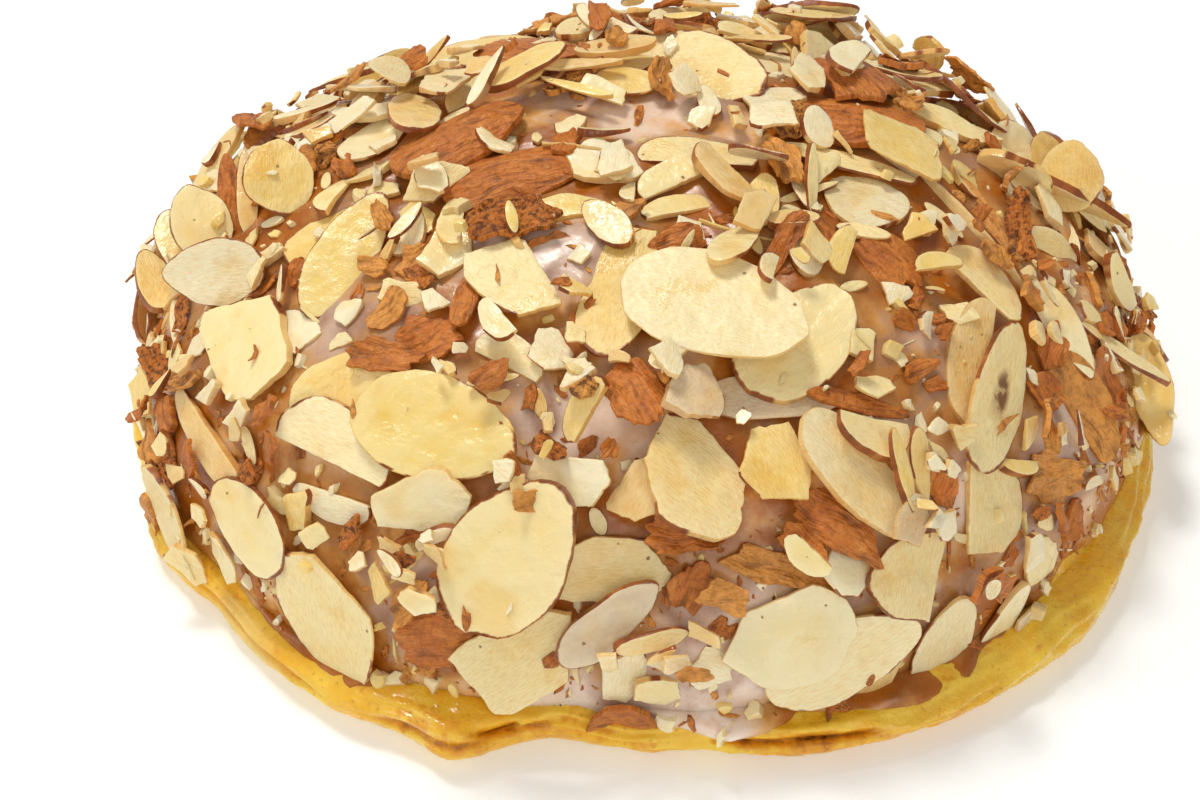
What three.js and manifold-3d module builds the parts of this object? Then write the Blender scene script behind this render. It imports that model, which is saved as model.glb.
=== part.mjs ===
// A bear claw: a domed, baked pastry under a thin icing, with sliced almonds pressed into it.
// Millimetres, +Z up, the long side along X, the origin in the middle of the flat base.
// Places on the dome are a bearing (degrees round from +X) and a drop (0 crown, 1 foot).

import * as THREE from 'three';
import { mergeVertices } from 'three/addons/utils/BufferGeometryUtils.js';
import Module from 'manifold-3d';

// ---------------------------------------------------------------- driving dimensions

const HALF_WIDTH = 63.5;
const FRONT_DEPTH = 54;
const BACK_DEPTH = 51;
const CROWN_HEIGHT = 40;
const CROWN_SETBACK = 4;
const RIM_HEIGHT = 6;
const RIM_REACH = 0.055;
const FOOT_SHARE = 0.95;
const BASE_SHARE = 0.86;
const PLAN_POWER = 2.05;
const DOME_POWER = 2.3;

const ROUND_STEPS = 60;
const DOME_DROPS = [0, 0.12, 0.24, 0.36, 0.48, 0.6, 0.72, 0.83, 0.92, 1];
const RIM_ANGLES = [55, 20, -15, -50];

// Cuts between the toes, in the dome and the rim: bearing, half width (degrees) and depth (mm).
const TOE_CUTS = [
  [261, 5, 1.2],
  [216, 6, 1.2],
  [194, 5, 1.4],
  [160, 5, 2.6],
  [118, 5, 2.6],
  [76, 5, 2.2],
];

// Toes, where the rim spreads out past its plain outline: bearing, half width (degrees), reach (mm).
const TOES = [
  [238, 10, 2],
  [250, 4.5, 3],
  [300, 20, 3.3],
  [322, 11, 1.9],
  [139, 12, 1.6],
  [97, 11, 1.4],
  [56, 12, 1.6],
];
const TOE_TOP = 0.55;

// Stretches of the rim that curl up off the table: bearing, half width (degrees), height (mm).
const LIFTS = [
  [268, 15, 1.9],
  [236, 7, 0.9],
  [294, 9, 0.9],
  [338, 12, 1.4],
  [120, 16, 1.2],
];

const ALMOND_THICKNESS = 1.5;
const ALMOND_ROOT = 1.1;
const EGG_TAPER = 0.15;
const LARGE_LENGTH = 14;
const LARGE_STEPS = 10;
const SMALL_STEPS = 8;
const SMALLEST_FUSED = 8.6;
const DOME_BEND_RADIUS = 55;
const MAX_TILT = Math.tan(THREE.MathUtils.degToRad(28));
const STANDING_LEAN = 30;
const ROOT_SINK = 1;
const FILL_COUNT = 36;
const FILL_SEED = 41;
const FILL_FROM = 12;
const FILL_TO = 172;
const SCATTER_ROUND = 0.754877;
const SCATTER_DOWN = 0.56984;
const BREAK_SEED = 900;

// ---------------------------------------------------------------- almonds laid by hand

// Each row: kind, bearing, drop, heading of its long axis (degrees), length, width, lean (degrees)
// and, where a standing one lifts its far end, that rise (degrees).
// They are laid in this order, so a later one rests on those before it.
const LEFT_FLANK = [
  ['skin', 204, 0.84, 100, 9, 3.5, 0],
  ['whole', 207, 0.94, 125, 13, 7, 0],
  ['chip', 217, 0.92, 120, 7, 4, 0],
  ['whole', 180, 0.75, 86, 9, 4.5, 80, 31],
  ['half', 209, 0.73, 135, 16, 5.5, 0],
  ['whole', 221, 0.8, 140, 13, 9, 0],
  ['half', 230, 0.69, 165, 10, 4.5, 0],
  ['whole', 224, 0.53, 20, 13, 8, 0],
  ['half', 228, 0.61, -25, 15, 9, 0],
  ['chip', 210, 0.51, -20, 10, 5.5, 0],
  ['chip', 207, 0.57, -60, 18, 11, 0],
  ['whole', 194.5, 0.55, 177, 12, 7.5, 130, 21],
  ['whole', 198, 0.37, 15, 13, 8, 0],
  ['whole', 204.5, 0.375, 62, 16.5, 7.2, 20],
  ['chip', 205, 0.27, -50, 7, 4.5, 0],
  ['chip', 221, 0.37, -10, 7, 3.5, 0],
  ['skin', 218, 0.32, 25, 6, 5, 0],
  ['chip', 222, 0.29, 60, 8, 6, 0],
  ['skin', 231, 0.41, 10, 9, 6, 0],
  ['skin', 228, 0.46, -10, 10, 3.5, 0],
  ['sliver', 233, 0.34, 80, 8, 2.5, 0],
  ['whole', 240, 0.53, -18, 18, 11, 0],
  ['chip', 242, 0.64, 10, 14, 7.5, 0],
];

const FRONT_EDGE = [
  ['skin', 246, 0.87, 10, 11, 8, 0],
  ['skin', 243, 0.81, 60, 7, 3, 0],
  ['chip', 256, 0.87, 40, 16, 11.5, 0],
  ['bitten', 233, 0.9, -78, 18, 13, 0],
  ['chip', 266, 0.71, 5, 15, 7.5, 0],
  ['whole', 266, 0.79, 42, 13, 5.5, 0],
  ['skin', 276, 0.73, 60, 7, 5, 0],
  ['chip', 268, 0.9, 75, 8, 5, 0],
  ['chip', 272, 0.93, -10, 6.5, 4, 0],
  ['sliver', 271, 0.82, 10, 8, 2.6, 0],
  ['skin', 268, 0.98, 5, 8, 4, 0],
  ['chip', 278, 0.89, -30, 5.5, 5, 0],
  ['skin', 287, 0.72, -18, 15, 3.5, 0],
  ['blunt', 297, 0.97, 60, 13.5, 5.5, 0],
  ['whole', 293, 0.9, 22, 17.5, 9.5, 0],
  ['chip', 287, 0.83, 5, 16, 12, 0],
  ['whole', 306, 0.95, 78, 12.5, 7.5, 0],
  ['chip', 294, 0.74, -10, 7, 5, 0],
  ['half', 302.5, 0.78, 75, 9.5, 12, 0],
];

const MIDDLE = [
  ['skin', 276, 0.65, 0, 11, 5, 0],
  ['chip', 270, 0.58, 62, 9, 6, 0],
  ['chip', 277, 0.57, -38, 16, 11, 0],
  ['chip', 261, 0.57, -5, 11, 6, 0],
  ['whole', 254.5, 0.69, 52, 18, 12.5, 0],
  ['half', 246, 0.4, -30, 8, 5.5, 0],
  ['chip', 253, 0.38, -58, 7, 5, 0],
  ['chip', 240, 0.29, -45, 15, 8, 0],
  ['blunt', 265, 0.27, 78, 19, 8, 0],
  ['whole', 291, 0.46, 0, 15, 5, 0],
  ['whole', 299, 0.39, 48, 16, 10.5, 0],
  ['skin', 270, 0.45, -60, 10, 7, 0],
  ['chip', 278, 0.45, 60, 8.5, 7, 0],
  ['half', 262, 0.47, 58, 7.5, 4.5, 0],
  ['whole', 285, 0.33, -22, 20, 13.5, 0],
  ['skin', 294, 0.66, -35, 13, 5, 0],
  ['chip', 288, 0.56, -60, 10.5, 9, 0],
  ['whole', 298, 0.6, -45, 17, 8, 0],
  ['sliver', 303, 0.5, -7, 12, 2, 0],
  ['half', 302, 0.545, 175, 9.5, 6.5, 0],
  ['sliver', 306, 0.61, -72, 8.5, 2.4, 0],
  ['chip', 301.5, 0.68, 20, 7, 6, 0],
];

const RIGHT_FLANK = [
  ['sliver', 314, 0.985, 55, 11, 4, 0],
  ['chip', 317.5, 1, 10, 5.5, 4.5, 0],
  ['chip', 320.5, 0.9, 45, 7, 6, 0],
  ['corner', 313.5, 0.735, -92, 11.5, 12, 0],
  ['half', 323, 0.53, 84, 15, 8, 0],
  ['whole', 322, 0.58, 70, 18.5, 7.5, 0],
  ['skin', 325, 0.76, 0, 10, 6, 0],
  ['skin', 341, 0.74, -55, 11, 5, 0],
  ['half', 334, 0.7, -50, 14, 7.5, 20],
  ['whole', 350.5, 0.88, 262, 15, 5, 80, 10],
  ['whole', 339, 0.59, -60, 13, 5, 20],
  ['sliver', 347.5, 0.74, 341, 16, 2.8, 150, 19],
  ['half', 355, 0.55, 4, 9, 4, 45, 2],
  ['skin', 3, 0.76, 110, 11, 5, 20],
  ['whole', 14, 0.6, 110, 9, 8, 60],
  ['sliver', 6, 0.58, 341, 18, 3, 130, 20],
  ['skin', 351.5, 0.47, 101, 12, 3.8, 120, 20],
  ['sliver', 352.5, 0.41, 302, 12.5, 3.8, 50],
  ['sliver', 348, 0.405, 314, 19.5, 3, 70],
  ['half', 334, 0.45, -45, 11, 8, 0],
  ['skin', 326, 0.34, -50, 11, 7, 0],
];

const CROWN_AND_BACK = [
  ['whole', 340, 0.26, 10, 10, 9, 0],
  ['whole', 7, 0.3, 25, 12, 6, 0],
  ['whole', 8, 0.235, -5, 16.5, 9.5, 0],
  ['half', 348, 0.215, -7, 17, 5, 0],
  ['half', 20, 0.42, -20, 16, 6, 0],
  ['half', 15, 0.4, -18, 10, 5, 0],
  ['chip', 18, 0.14, 25, 9, 6, 0],
  ['whole', 45, 0.25, -28, 11, 7, 0],
  ['skin', 45, 0.4, -10, 13, 6, 20],
  ['whole', 55, 0.4, -30, 11, 6, 20],
  ['whole', 60, 0.15, -42, 19, 11, 25],
  ['half', 320, 0.07, -5, 14, 7, 0],
  ['whole', 101, 0.14, 5, 9, 6.5, 0],
  ['whole', 102, 0.08, 0, 8, 5, 0],
  ['chip', 105, 0.3, 0, 10, 8, 0],
  ['whole', 142, 0.23, -8, 14, 5, 0],
  ['whole', 127, 0.42, -12, 17, 8, 20],
  ['sliver', 145, 0.47, 42, 17, 3.5, 35],
  ['whole', 175, 0.3, 45, 10, 6, 0],
  ['sliver', 174, 0.21, 45, 9, 2.4, 0],
  ['whole', 184, 0.185, 33, 17, 8.5, 0],
  ['whole', 209, 0.145, 12, 16.5, 8.5, 0],
  ['chip', 237, 0.07, -20, 10.5, 7.5, 0],
  ['half', 241, 0.16, 5, 9, 5, 0],
  ['half', 288, 0.14, 20, 9, 4, 0],
  ['whole', 7, 0.575, 134, 9, 7.4, 100, 32],
  ['whole', 183, 0.425, 79, 9, 8, 45, 28],
  ['sliver', 179.5, 0.53, 77, 12, 3, 45, 29],
  ['whole', 183.5, 0.565, 85, 9.5, 7, 45, 44],
  ['whole', 182.5, 0.615, 99, 9, 7, 45, 35],
  ['sliver', 302.5, 0.61, -75, 9, 2.2, 0],
  ['skin', 8, 0.81, 174, 10, 4.5, 120, -6],
  ['sliver', 180.5, 0.495, 79, 11, 2.5, 45, 29],
  ['sliver', 191, 0.69, 107, 9, 2.5, 45, 5],
  ['skin', 194, 0.765, 118, 9, 4.5, 45, 10],
  ['sliver', 0.5, 0.61, 87, 9, 2.6, 120, 4],
];

const ROWS = [...LEFT_FLANK, ...FRONT_EDGE, ...MIDDLE, ...RIGHT_FLANK, ...CROWN_AND_BACK];

// ---------------------------------------------------------------- small helpers

const { degToRad, clamp, smoothstep } = THREE.MathUtils;

function seededRandom(seed) {
  let state = seed >>> 0;
  return () => {
    state = (state + 0x6d2b79f5) >>> 0;
    let mixed = Math.imul(state ^ (state >>> 15), state | 1);
    mixed ^= mixed + Math.imul(mixed ^ (mixed >>> 7), mixed | 61);
    return ((mixed ^ (mixed >>> 14)) >>> 0) / 4294967296;
  };
}

function bump(bearing, middle, halfWidth) {
  const away = ((bearing - middle + 540) % 360) - 180;
  return Math.exp(-((away / halfWidth) ** 2));
}

// ---------------------------------------------------------------- the baked body

function planRadius(bearing) {
  const phi = degToRad(bearing);
  const depth = Math.sin(phi) > 0 ? BACK_DEPTH : FRONT_DEPTH;
  const across = Math.abs(Math.cos(phi) / HALF_WIDTH) ** PLAN_POWER;
  const along = Math.abs(Math.sin(phi) / depth) ** PLAN_POWER;
  return (across + along) ** (-1 / PLAN_POWER);
}

function smoothDome(bearing, drop) {
  const phi = degToRad(bearing);
  const angle = (drop * Math.PI) / 2;
  const reach = planRadius(bearing) * FOOT_SHARE * Math.sin(angle) ** (2 / DOME_POWER);
  const rise = Math.cos(angle);
  return new THREE.Vector3(
    reach * Math.cos(phi),
    reach * Math.sin(phi) + CROWN_SETBACK * rise,
    RIM_HEIGHT + (CROWN_HEIGHT - RIM_HEIGHT) * rise,
  );
}

function domeNormal(bearing, drop) {
  const near = clamp(drop, 0.03, 0.985);
  const round = smoothDome(bearing + 0.4, near).sub(smoothDome(bearing - 0.4, near));
  const down = smoothDome(bearing, near - 0.004).sub(smoothDome(bearing, near + 0.004));
  return round.cross(down).normalize();
}

function lumpHeight(bearing, drop) {
  const phi = degToRad(bearing);
  const fade = Math.sqrt(Math.max(Math.sin(Math.PI * Math.min(drop, 1)), 0));
  const broad = 0.55 * Math.sin(3 * phi + 0.9) * Math.cos(5 * drop + 0.4);
  const middling = 0.45 * Math.sin(5 * phi - 1.3 + 3 * drop);
  const narrow = 0.35 * Math.cos(8 * phi + 2.1 - 6 * drop);
  return fade * (broad + middling + narrow);
}

function domeSurface(bearing, drop) {
  const normal = domeNormal(bearing, drop);
  return smoothDome(bearing, drop).addScaledVector(normal, lumpHeight(bearing, drop));
}

function toeDepth(bearing, drop) {
  const fade = smoothstep(drop, TOE_TOP, 1);
  return TOE_CUTS.reduce((depth, [at, width, cut]) => depth + cut * fade * bump(bearing, at, width), 0);
}

function toeReach(bearing) {
  return TOES.reduce((reach, [at, width, out]) => reach + out * bump(bearing, at, width), 0);
}

function rimLift(bearing) {
  return LIFTS.reduce((height, [at, width, lift]) => height + lift * bump(bearing, at, width), 0);
}

function towardAxis(point, distance) {
  const radius = Math.hypot(point.x, point.y);
  const share = (radius - distance) / radius;
  return new THREE.Vector3(point.x * share, point.y * share, point.z);
}

function crustPoint(bearing, drop) {
  return drop === 0 ? domeSurface(0, 0) : towardAxis(domeSurface(bearing, drop), toeDepth(bearing, drop));
}

function rimPoint(bearing, angle) {
  const radius = planRadius(bearing);
  const lift = rimLift(bearing);
  const middle = (RIM_HEIGHT + lift) / 2;
  const spread = radius * RIM_REACH + toeReach(bearing);
  const reach = radius * (1 - RIM_REACH) + spread * Math.cos(degToRad(angle));
  const height = middle + (RIM_HEIGHT - middle) * Math.sin(degToRad(angle));
  const phi = degToRad(bearing);
  const point = new THREE.Vector3(reach * Math.cos(phi), reach * Math.sin(phi), height);
  return towardAxis(point, toeDepth(bearing, 1));
}

function basePoint(bearing, share) {
  const phi = degToRad(bearing);
  const radius = planRadius(bearing) * share;
  return new THREE.Vector3(radius * Math.cos(phi), radius * Math.sin(phi), 0);
}

function sectionAt(bearing) {
  return [
    basePoint(bearing, 0),
    basePoint(bearing, BASE_SHARE),
    ...[...RIM_ANGLES].reverse().map((angle) => rimPoint(bearing, angle)),
    ...[...DOME_DROPS].reverse().map((drop) => crustPoint(bearing, drop)),
  ];
}

function bakedBody() {
  const profile = sectionAt(0).map((point) => new THREE.Vector2(Math.hypot(point.x, point.y), point.z));
  const lathe = new THREE.LatheGeometry(profile, ROUND_STEPS);
  const position = lathe.getAttribute('position');
  for (let step = 0; step <= ROUND_STEPS; step += 1) {
    const section = sectionAt(((step % ROUND_STEPS) * 360) / ROUND_STEPS);
    section.forEach((point, row) => {
      position.setXYZ(step * section.length + row, point.x, point.y, point.z);
    });
  }
  return lathe;
}

// ---------------------------------------------------------------- the almonds' outlines

function breaksOf(kind, random) {
  const chipped = (corners, least, most) =>
    Array.from({ length: corners }, (_, corner) => [
      (360 / corners) * (corner + 0.7 * random()),
      least + (most - least) * random(),
    ]);
  const patterns = {
    whole: () => [],
    sliver: () => [],
    half: () => [[-90, 0.35]],
    corner: () => [[-90, 0.35], [0, 0.75]],
    blunt: () => [[-8, 0.8]],
    bitten: () => [[180, 0.86], [130, 0.72]],
    chip: () => chipped(5, 0.66, 0.9),
    skin: () => chipped(6, 0.7, 0.92),
  };
  return patterns[kind]();
}

function clipOutline(outline, direction, distance) {
  const along = degToRad(direction);
  const beyond = ([u, v]) => u * Math.cos(along) + v * Math.sin(along) - distance;
  return outline.flatMap((corner, index) => {
    const next = outline[(index + 1) % outline.length];
    const here = beyond(corner);
    const there = beyond(next);
    const kept = here <= 0 ? [corner] : [];
    if (here * there < 0) {
      const share = here / (here - there);
      kept.push([corner[0] + share * (next[0] - corner[0]), corner[1] + share * (next[1] - corner[1])]);
    }
    return kept;
  });
}

function almondOutline(almond) {
  const steps = almond.length > LARGE_LENGTH ? LARGE_STEPS : SMALL_STEPS;
  let outline = Array.from({ length: steps }, (_, step) => {
    const turn = (2 * Math.PI * step) / steps;
    const taper = 1 - EGG_TAPER * Math.cos(turn);
    return [(almond.length / 2) * Math.cos(turn), (almond.width / 2) * Math.sin(turn) * taper];
  });
  almond.breaks.forEach(([direction, share]) => {
    const turn = degToRad(direction);
    const reach = Math.hypot((almond.length / 2) * Math.cos(turn), (almond.width / 2) * Math.sin(turn));
    outline = clipOutline(outline, direction, share * reach);
  });
  return outline;
}

// ---------------------------------------------------------------- laying them on the dome

function seatOf(almond) {
  const up = domeNormal(almond.bearing, almond.drop);
  const level = new THREE.Vector3(1, 0, 0);
  level.addScaledVector(up, -level.dot(up)).normalize();
  const side = up.clone().cross(level);
  const heading = degToRad(almond.heading);
  const along = level.multiplyScalar(Math.cos(heading)).addScaledVector(side, Math.sin(heading));
  const across = up.clone().cross(along);
  return { at: domeSurface(almond.bearing, almond.drop), along, across, up };
}

function probesOf(almond) {
  const rings = [[8, 0.55], [12, 0.95]];
  const probes = [[0, 0]];
  rings.forEach(([count, share]) => {
    for (let step = 0; step < count; step += 1) {
      const turn = (2 * Math.PI * step) / count;
      const [u, v] = [share * Math.cos(turn), share * Math.sin(turn)];
      probes.push([(u * almond.length) / 2, (v * almond.width) / 2]);
    }
  });
  return probes;
}

function topHeight(below, point, up) {
  const facing = below.up.dot(up);
  if (below.lean >= STANDING_LEAN || Math.abs(facing) < 0.3) return -Infinity;
  const top = below.at.clone().addScaledVector(below.up, ALMOND_THICKNESS);
  const height = top.sub(point).dot(below.up) / facing;
  const offset = point.clone().addScaledVector(up, height).sub(below.at);
  const u = offset.dot(below.along) / (below.length / 2);
  const v = offset.dot(below.across) / (below.width / 2);
  return u * u + v * v < 0.9 && height > -3 && height < 6 ? height : -Infinity;
}

function layFlat(almond, seat, laid) {
  const probes = probesOf(almond);
  const near = laid.filter((other) => other.at.distanceTo(seat.at) < (other.length + almond.length) / 2 + 2);
  const heights = probes.map(([u, v]) => {
    const point = seat.at.clone().addScaledVector(seat.along, u).addScaledVector(seat.across, v);
    const bend = -(u * u + v * v) / (2 * DOME_BEND_RADIUS);
    return Math.max(bend, ...near.map((other) => topHeight(other, point, seat.up)));
  });
  const slope = [0, 1].map((axis) => {
    const moment = probes.reduce((sum, probe, index) => sum + probe[axis] * heights[index], 0);
    const spread = probes.reduce((sum, probe) => sum + probe[axis] ** 2, 0);
    return (0.8 * moment) / spread;
  });
  const steepness = Math.hypot(...slope);
  const ease = steepness > MAX_TILT ? MAX_TILT / steepness : 1;
  const [uSlope, vSlope] = [slope[0] * ease, slope[1] * ease + Math.tan(degToRad(almond.lean))];
  const clearances = probes.map(([u, v], index) => heights[index] - uSlope * u - vSlope * v);
  const sink = almond.lean > 0 ? ROOT_SINK : 0.2;
  const along = seat.along.clone().addScaledVector(seat.up, uSlope).normalize();
  const across = seat.across.clone().addScaledVector(seat.up, vSlope);
  across.addScaledVector(along, -across.dot(along)).normalize();
  const at = seat.at.clone().addScaledVector(seat.up, Math.max(...clearances) - sink);
  return { at, along, across, up: along.clone().cross(across) };
}

// A standing piece is rooted along one edge or, where it rises, at its low end.
function standOnEdge(almond, seat) {
  const lean = degToRad(almond.lean);
  const rise = degToRad(almond.rise);
  const reach = (almond.length / 2) * Math.cos(rise);
  const fallAway = almond.rise === 0 ? 0 : reach ** 2 / (2 * DOME_BEND_RADIUS);
  const byWidth = (almond.width / 2) * Math.sin(lean) * Math.cos(rise);
  const byLength = (almond.length / 2) * Math.abs(Math.sin(rise));
  const along = seat.along.clone().applyAxisAngle(seat.across, -rise);
  const up = seat.up.clone().applyAxisAngle(seat.across, -rise);
  return {
    at: seat.at.clone().addScaledVector(seat.up, byWidth + byLength - ROOT_SINK - fallAway),
    along,
    across: seat.across.clone().applyAxisAngle(along, lean),
    up: up.applyAxisAngle(along, lean),
  };
}

function lay(almond, laid) {
  const seat = seatOf(almond);
  const pose = almond.lean >= STANDING_LEAN ? standOnEdge(almond, seat) : layFlat(almond, seat, laid);
  laid.push({ ...almond, ...pose });
}

function namedAlmond([kind, bearing, drop, heading, length, width, lean, rise = 0], index) {
  const breaks = breaksOf(kind, seededRandom(BREAK_SEED + index));
  return { kind, bearing, drop, heading, length, width, lean, rise, breaks };
}

// The back of the dome fills up at evenly scattered places, wherever no almond lies yet.
function fillAlmonds(laid) {
  const random = seededRandom(FILL_SEED);
  const kinds = ['whole', 'chip', 'half', 'whole', 'skin', 'chip', 'whole', 'sliver', 'half', 'chip'];
  for (let step = 1; laid.length < ROWS.length + FILL_COUNT; step += 1) {
    const bearing = 360 * ((step * SCATTER_ROUND) % 1);
    const drop = 0.1 + 0.84 * Math.sqrt((step * SCATTER_DOWN) % 1);
    const kind = kinds[Math.floor(random() * kinds.length)];
    const heading = 180 * random();
    const length = kind === 'chip' ? 9 + 4 * random() : 12 + 6 * random();
    const width = kind === 'sliver' ? 3 : length * (0.52 + 0.2 * random());
    const lean = random() < 0.12 ? 25 + 40 * random() : 0;
    const point = domeSurface(bearing, drop);
    const clear = (other) => other.at.distanceTo(point) > 0.22 * (other.length + other.width) + 1.2;
    if (laid.every(clear) && bearing > FILL_FROM && bearing < FILL_TO) {
      const index = laid.length;
      lay(namedAlmond([kind, bearing, drop, heading, length, width, lean], index), laid);
    }
  }
}

function layAlmonds() {
  const laid = [];
  ROWS.forEach((row, index) => lay(namedAlmond(row, index), laid));
  fillAlmonds(laid);
  return laid;
}

function almondGeometry(almond) {
  const shape = new THREE.Shape(almondOutline(almond).map(([u, v]) => new THREE.Vector2(u, v)));
  const standing = almond.lean >= STANDING_LEAN;
  const root = standing ? ALMOND_THICKNESS / 2 : ALMOND_ROOT;
  const top = standing ? ALMOND_THICKNESS / 2 : ALMOND_THICKNESS;
  const geometry = new THREE.ExtrudeGeometry(shape, { depth: root + top, bevelEnabled: false });
  geometry.translate(0, 0, -root);
  const pose = new THREE.Matrix4().makeBasis(almond.along, almond.across, almond.up);
  return geometry.applyMatrix4(pose.setPosition(almond.at));
}

// ---------------------------------------------------------------- fusing

const wasm = await Module();
wasm.setup();

function solidOf(geometry) {
  const bare = geometry.clone();
  bare.deleteAttribute('normal');
  bare.deleteAttribute('uv');
  const merged = mergeVertices(bare, 1e-4);
  const corners = merged.getIndex().array;
  const kept = [];
  for (let first = 0; first < corners.length; first += 3) {
    const [a, b, c] = corners.subarray(first, first + 3);
    if (a !== b && b !== c && c !== a) kept.push(a, b, c);
  }
  const vertProperties = new Float32Array(merged.getAttribute('position').array);
  return new wasm.Manifold(new wasm.Mesh({ numProp: 3, vertProperties, triVerts: new Uint32Array(kept) }));
}

function geometryOf(solid) {
  const { vertProperties, triVerts } = solid.getMesh();
  const geometry = new THREE.BufferGeometry();
  geometry.setAttribute('position', new THREE.BufferAttribute(new Float32Array(vertProperties), 3));
  geometry.setIndex(new THREE.BufferAttribute(new Uint32Array(triVerts), 1));
  geometry.computeVertexNormals();
  return geometry;
}

// Fusing can seal a hollow or leave a loose scrap: only the largest body is kept.
function largestBody(solid) {
  return solid.decompose().reduce((best, body) => (body.volume() > best.volume() ? body : best));
}

const fused = layAlmonds()
  .filter((almond) => almond.length > SMALLEST_FUSED)
  .reduce((solid, almond) => solid.add(solidOf(almondGeometry(almond))), solidOf(bakedBody()));

const bearClaw = new THREE.Mesh(
  geometryOf(largestBody(fused)),
  new THREE.MeshStandardMaterial({ color: 0xd9a85c, roughness: 0.55, metalness: 0 }),
);
bearClaw.name = 'bear_claw';

const group = new THREE.Group();
group.add(bearClaw);

export default group;
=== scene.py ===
"""Dresses a bear claw pastry: golden crust, lilac-grey icing, sliced almonds, skins and crumbs."""

import logging
import math
from collections.abc import Callable
from dataclasses import dataclass, field
from enum import Enum

import bmesh
import bpy
import numpy as np
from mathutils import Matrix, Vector, noise
from mathutils.bvhtree import BVHTree


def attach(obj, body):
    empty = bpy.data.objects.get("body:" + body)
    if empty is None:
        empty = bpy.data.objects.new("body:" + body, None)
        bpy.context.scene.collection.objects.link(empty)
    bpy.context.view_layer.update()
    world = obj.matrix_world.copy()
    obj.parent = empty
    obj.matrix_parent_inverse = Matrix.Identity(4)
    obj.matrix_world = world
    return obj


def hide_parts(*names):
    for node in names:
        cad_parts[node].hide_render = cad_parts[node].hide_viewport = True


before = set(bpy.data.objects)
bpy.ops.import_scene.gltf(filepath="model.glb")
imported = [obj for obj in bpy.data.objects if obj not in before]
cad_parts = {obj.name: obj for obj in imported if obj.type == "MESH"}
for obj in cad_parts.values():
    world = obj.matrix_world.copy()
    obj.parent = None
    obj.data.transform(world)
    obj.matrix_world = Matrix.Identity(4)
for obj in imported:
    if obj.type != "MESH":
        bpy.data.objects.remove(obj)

log = logging.getLogger("bear_claw")

NODE = "bear_claw"
MM = 0.001

Array = np.ndarray
Colour = tuple[float, float, float, float]
Draw = Callable[[], float]
Piece = bpy.types.Object
Material = bpy.types.Material
Node = bpy.types.Node
Socket = bpy.types.NodeSocket
Fed = Socket | float | Colour


def srgb(red: int, green: int, blue: int) -> Colour:
    """Turns a display colour, 0 to 255, into the linear one that shaders take."""
    shares = [value / 255 for value in (red, green, blue)]
    linear = [v / 12.92 if v <= 0.04045 else ((v + 0.055) / 1.055) ** 2.4 for v in shares]
    return (*linear, 1.0)


def seeded_random(seed: int) -> Draw:
    """Gives the small repeatable generator that the almonds are laid with.

    Args:
        seed: where the sequence starts.

    Returns:
        A function that gives the next number, from 0 to 1.
    """
    mask = 0xFFFFFFFF
    state = seed & mask

    def draw() -> float:
        nonlocal state
        state = (state + 0x6D2B79F5) & mask
        mixed = ((state ^ (state >> 15)) * (state | 1)) & mask
        mixed ^= (mixed + (((mixed ^ (mixed >> 7)) * (mixed | 61)) & mask)) & mask
        return ((mixed ^ (mixed >> 14)) & mask) / 4294967296

    return draw


def unit(vectors: Array) -> Array:
    """Scales vectors to a length of one."""
    return vectors / np.linalg.norm(vectors, axis=-1, keepdims=True)


def smoothstep(value: Array, low: float, high: float) -> Array:
    """Eases from 0 at low to 1 at high."""
    share = np.clip((value - low) / (high - low), 0, 1)
    return share * share * (3 - 2 * share)


def bump(bearing: Array, middle: float, half_width: float) -> Array:
    """Gives a bell curve round one bearing, in degrees."""
    away = (bearing - middle + 540) % 360 - 180
    return np.exp(-((away / half_width) ** 2))


# ---------------------------------------------------------------- the form of the pastry


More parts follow.
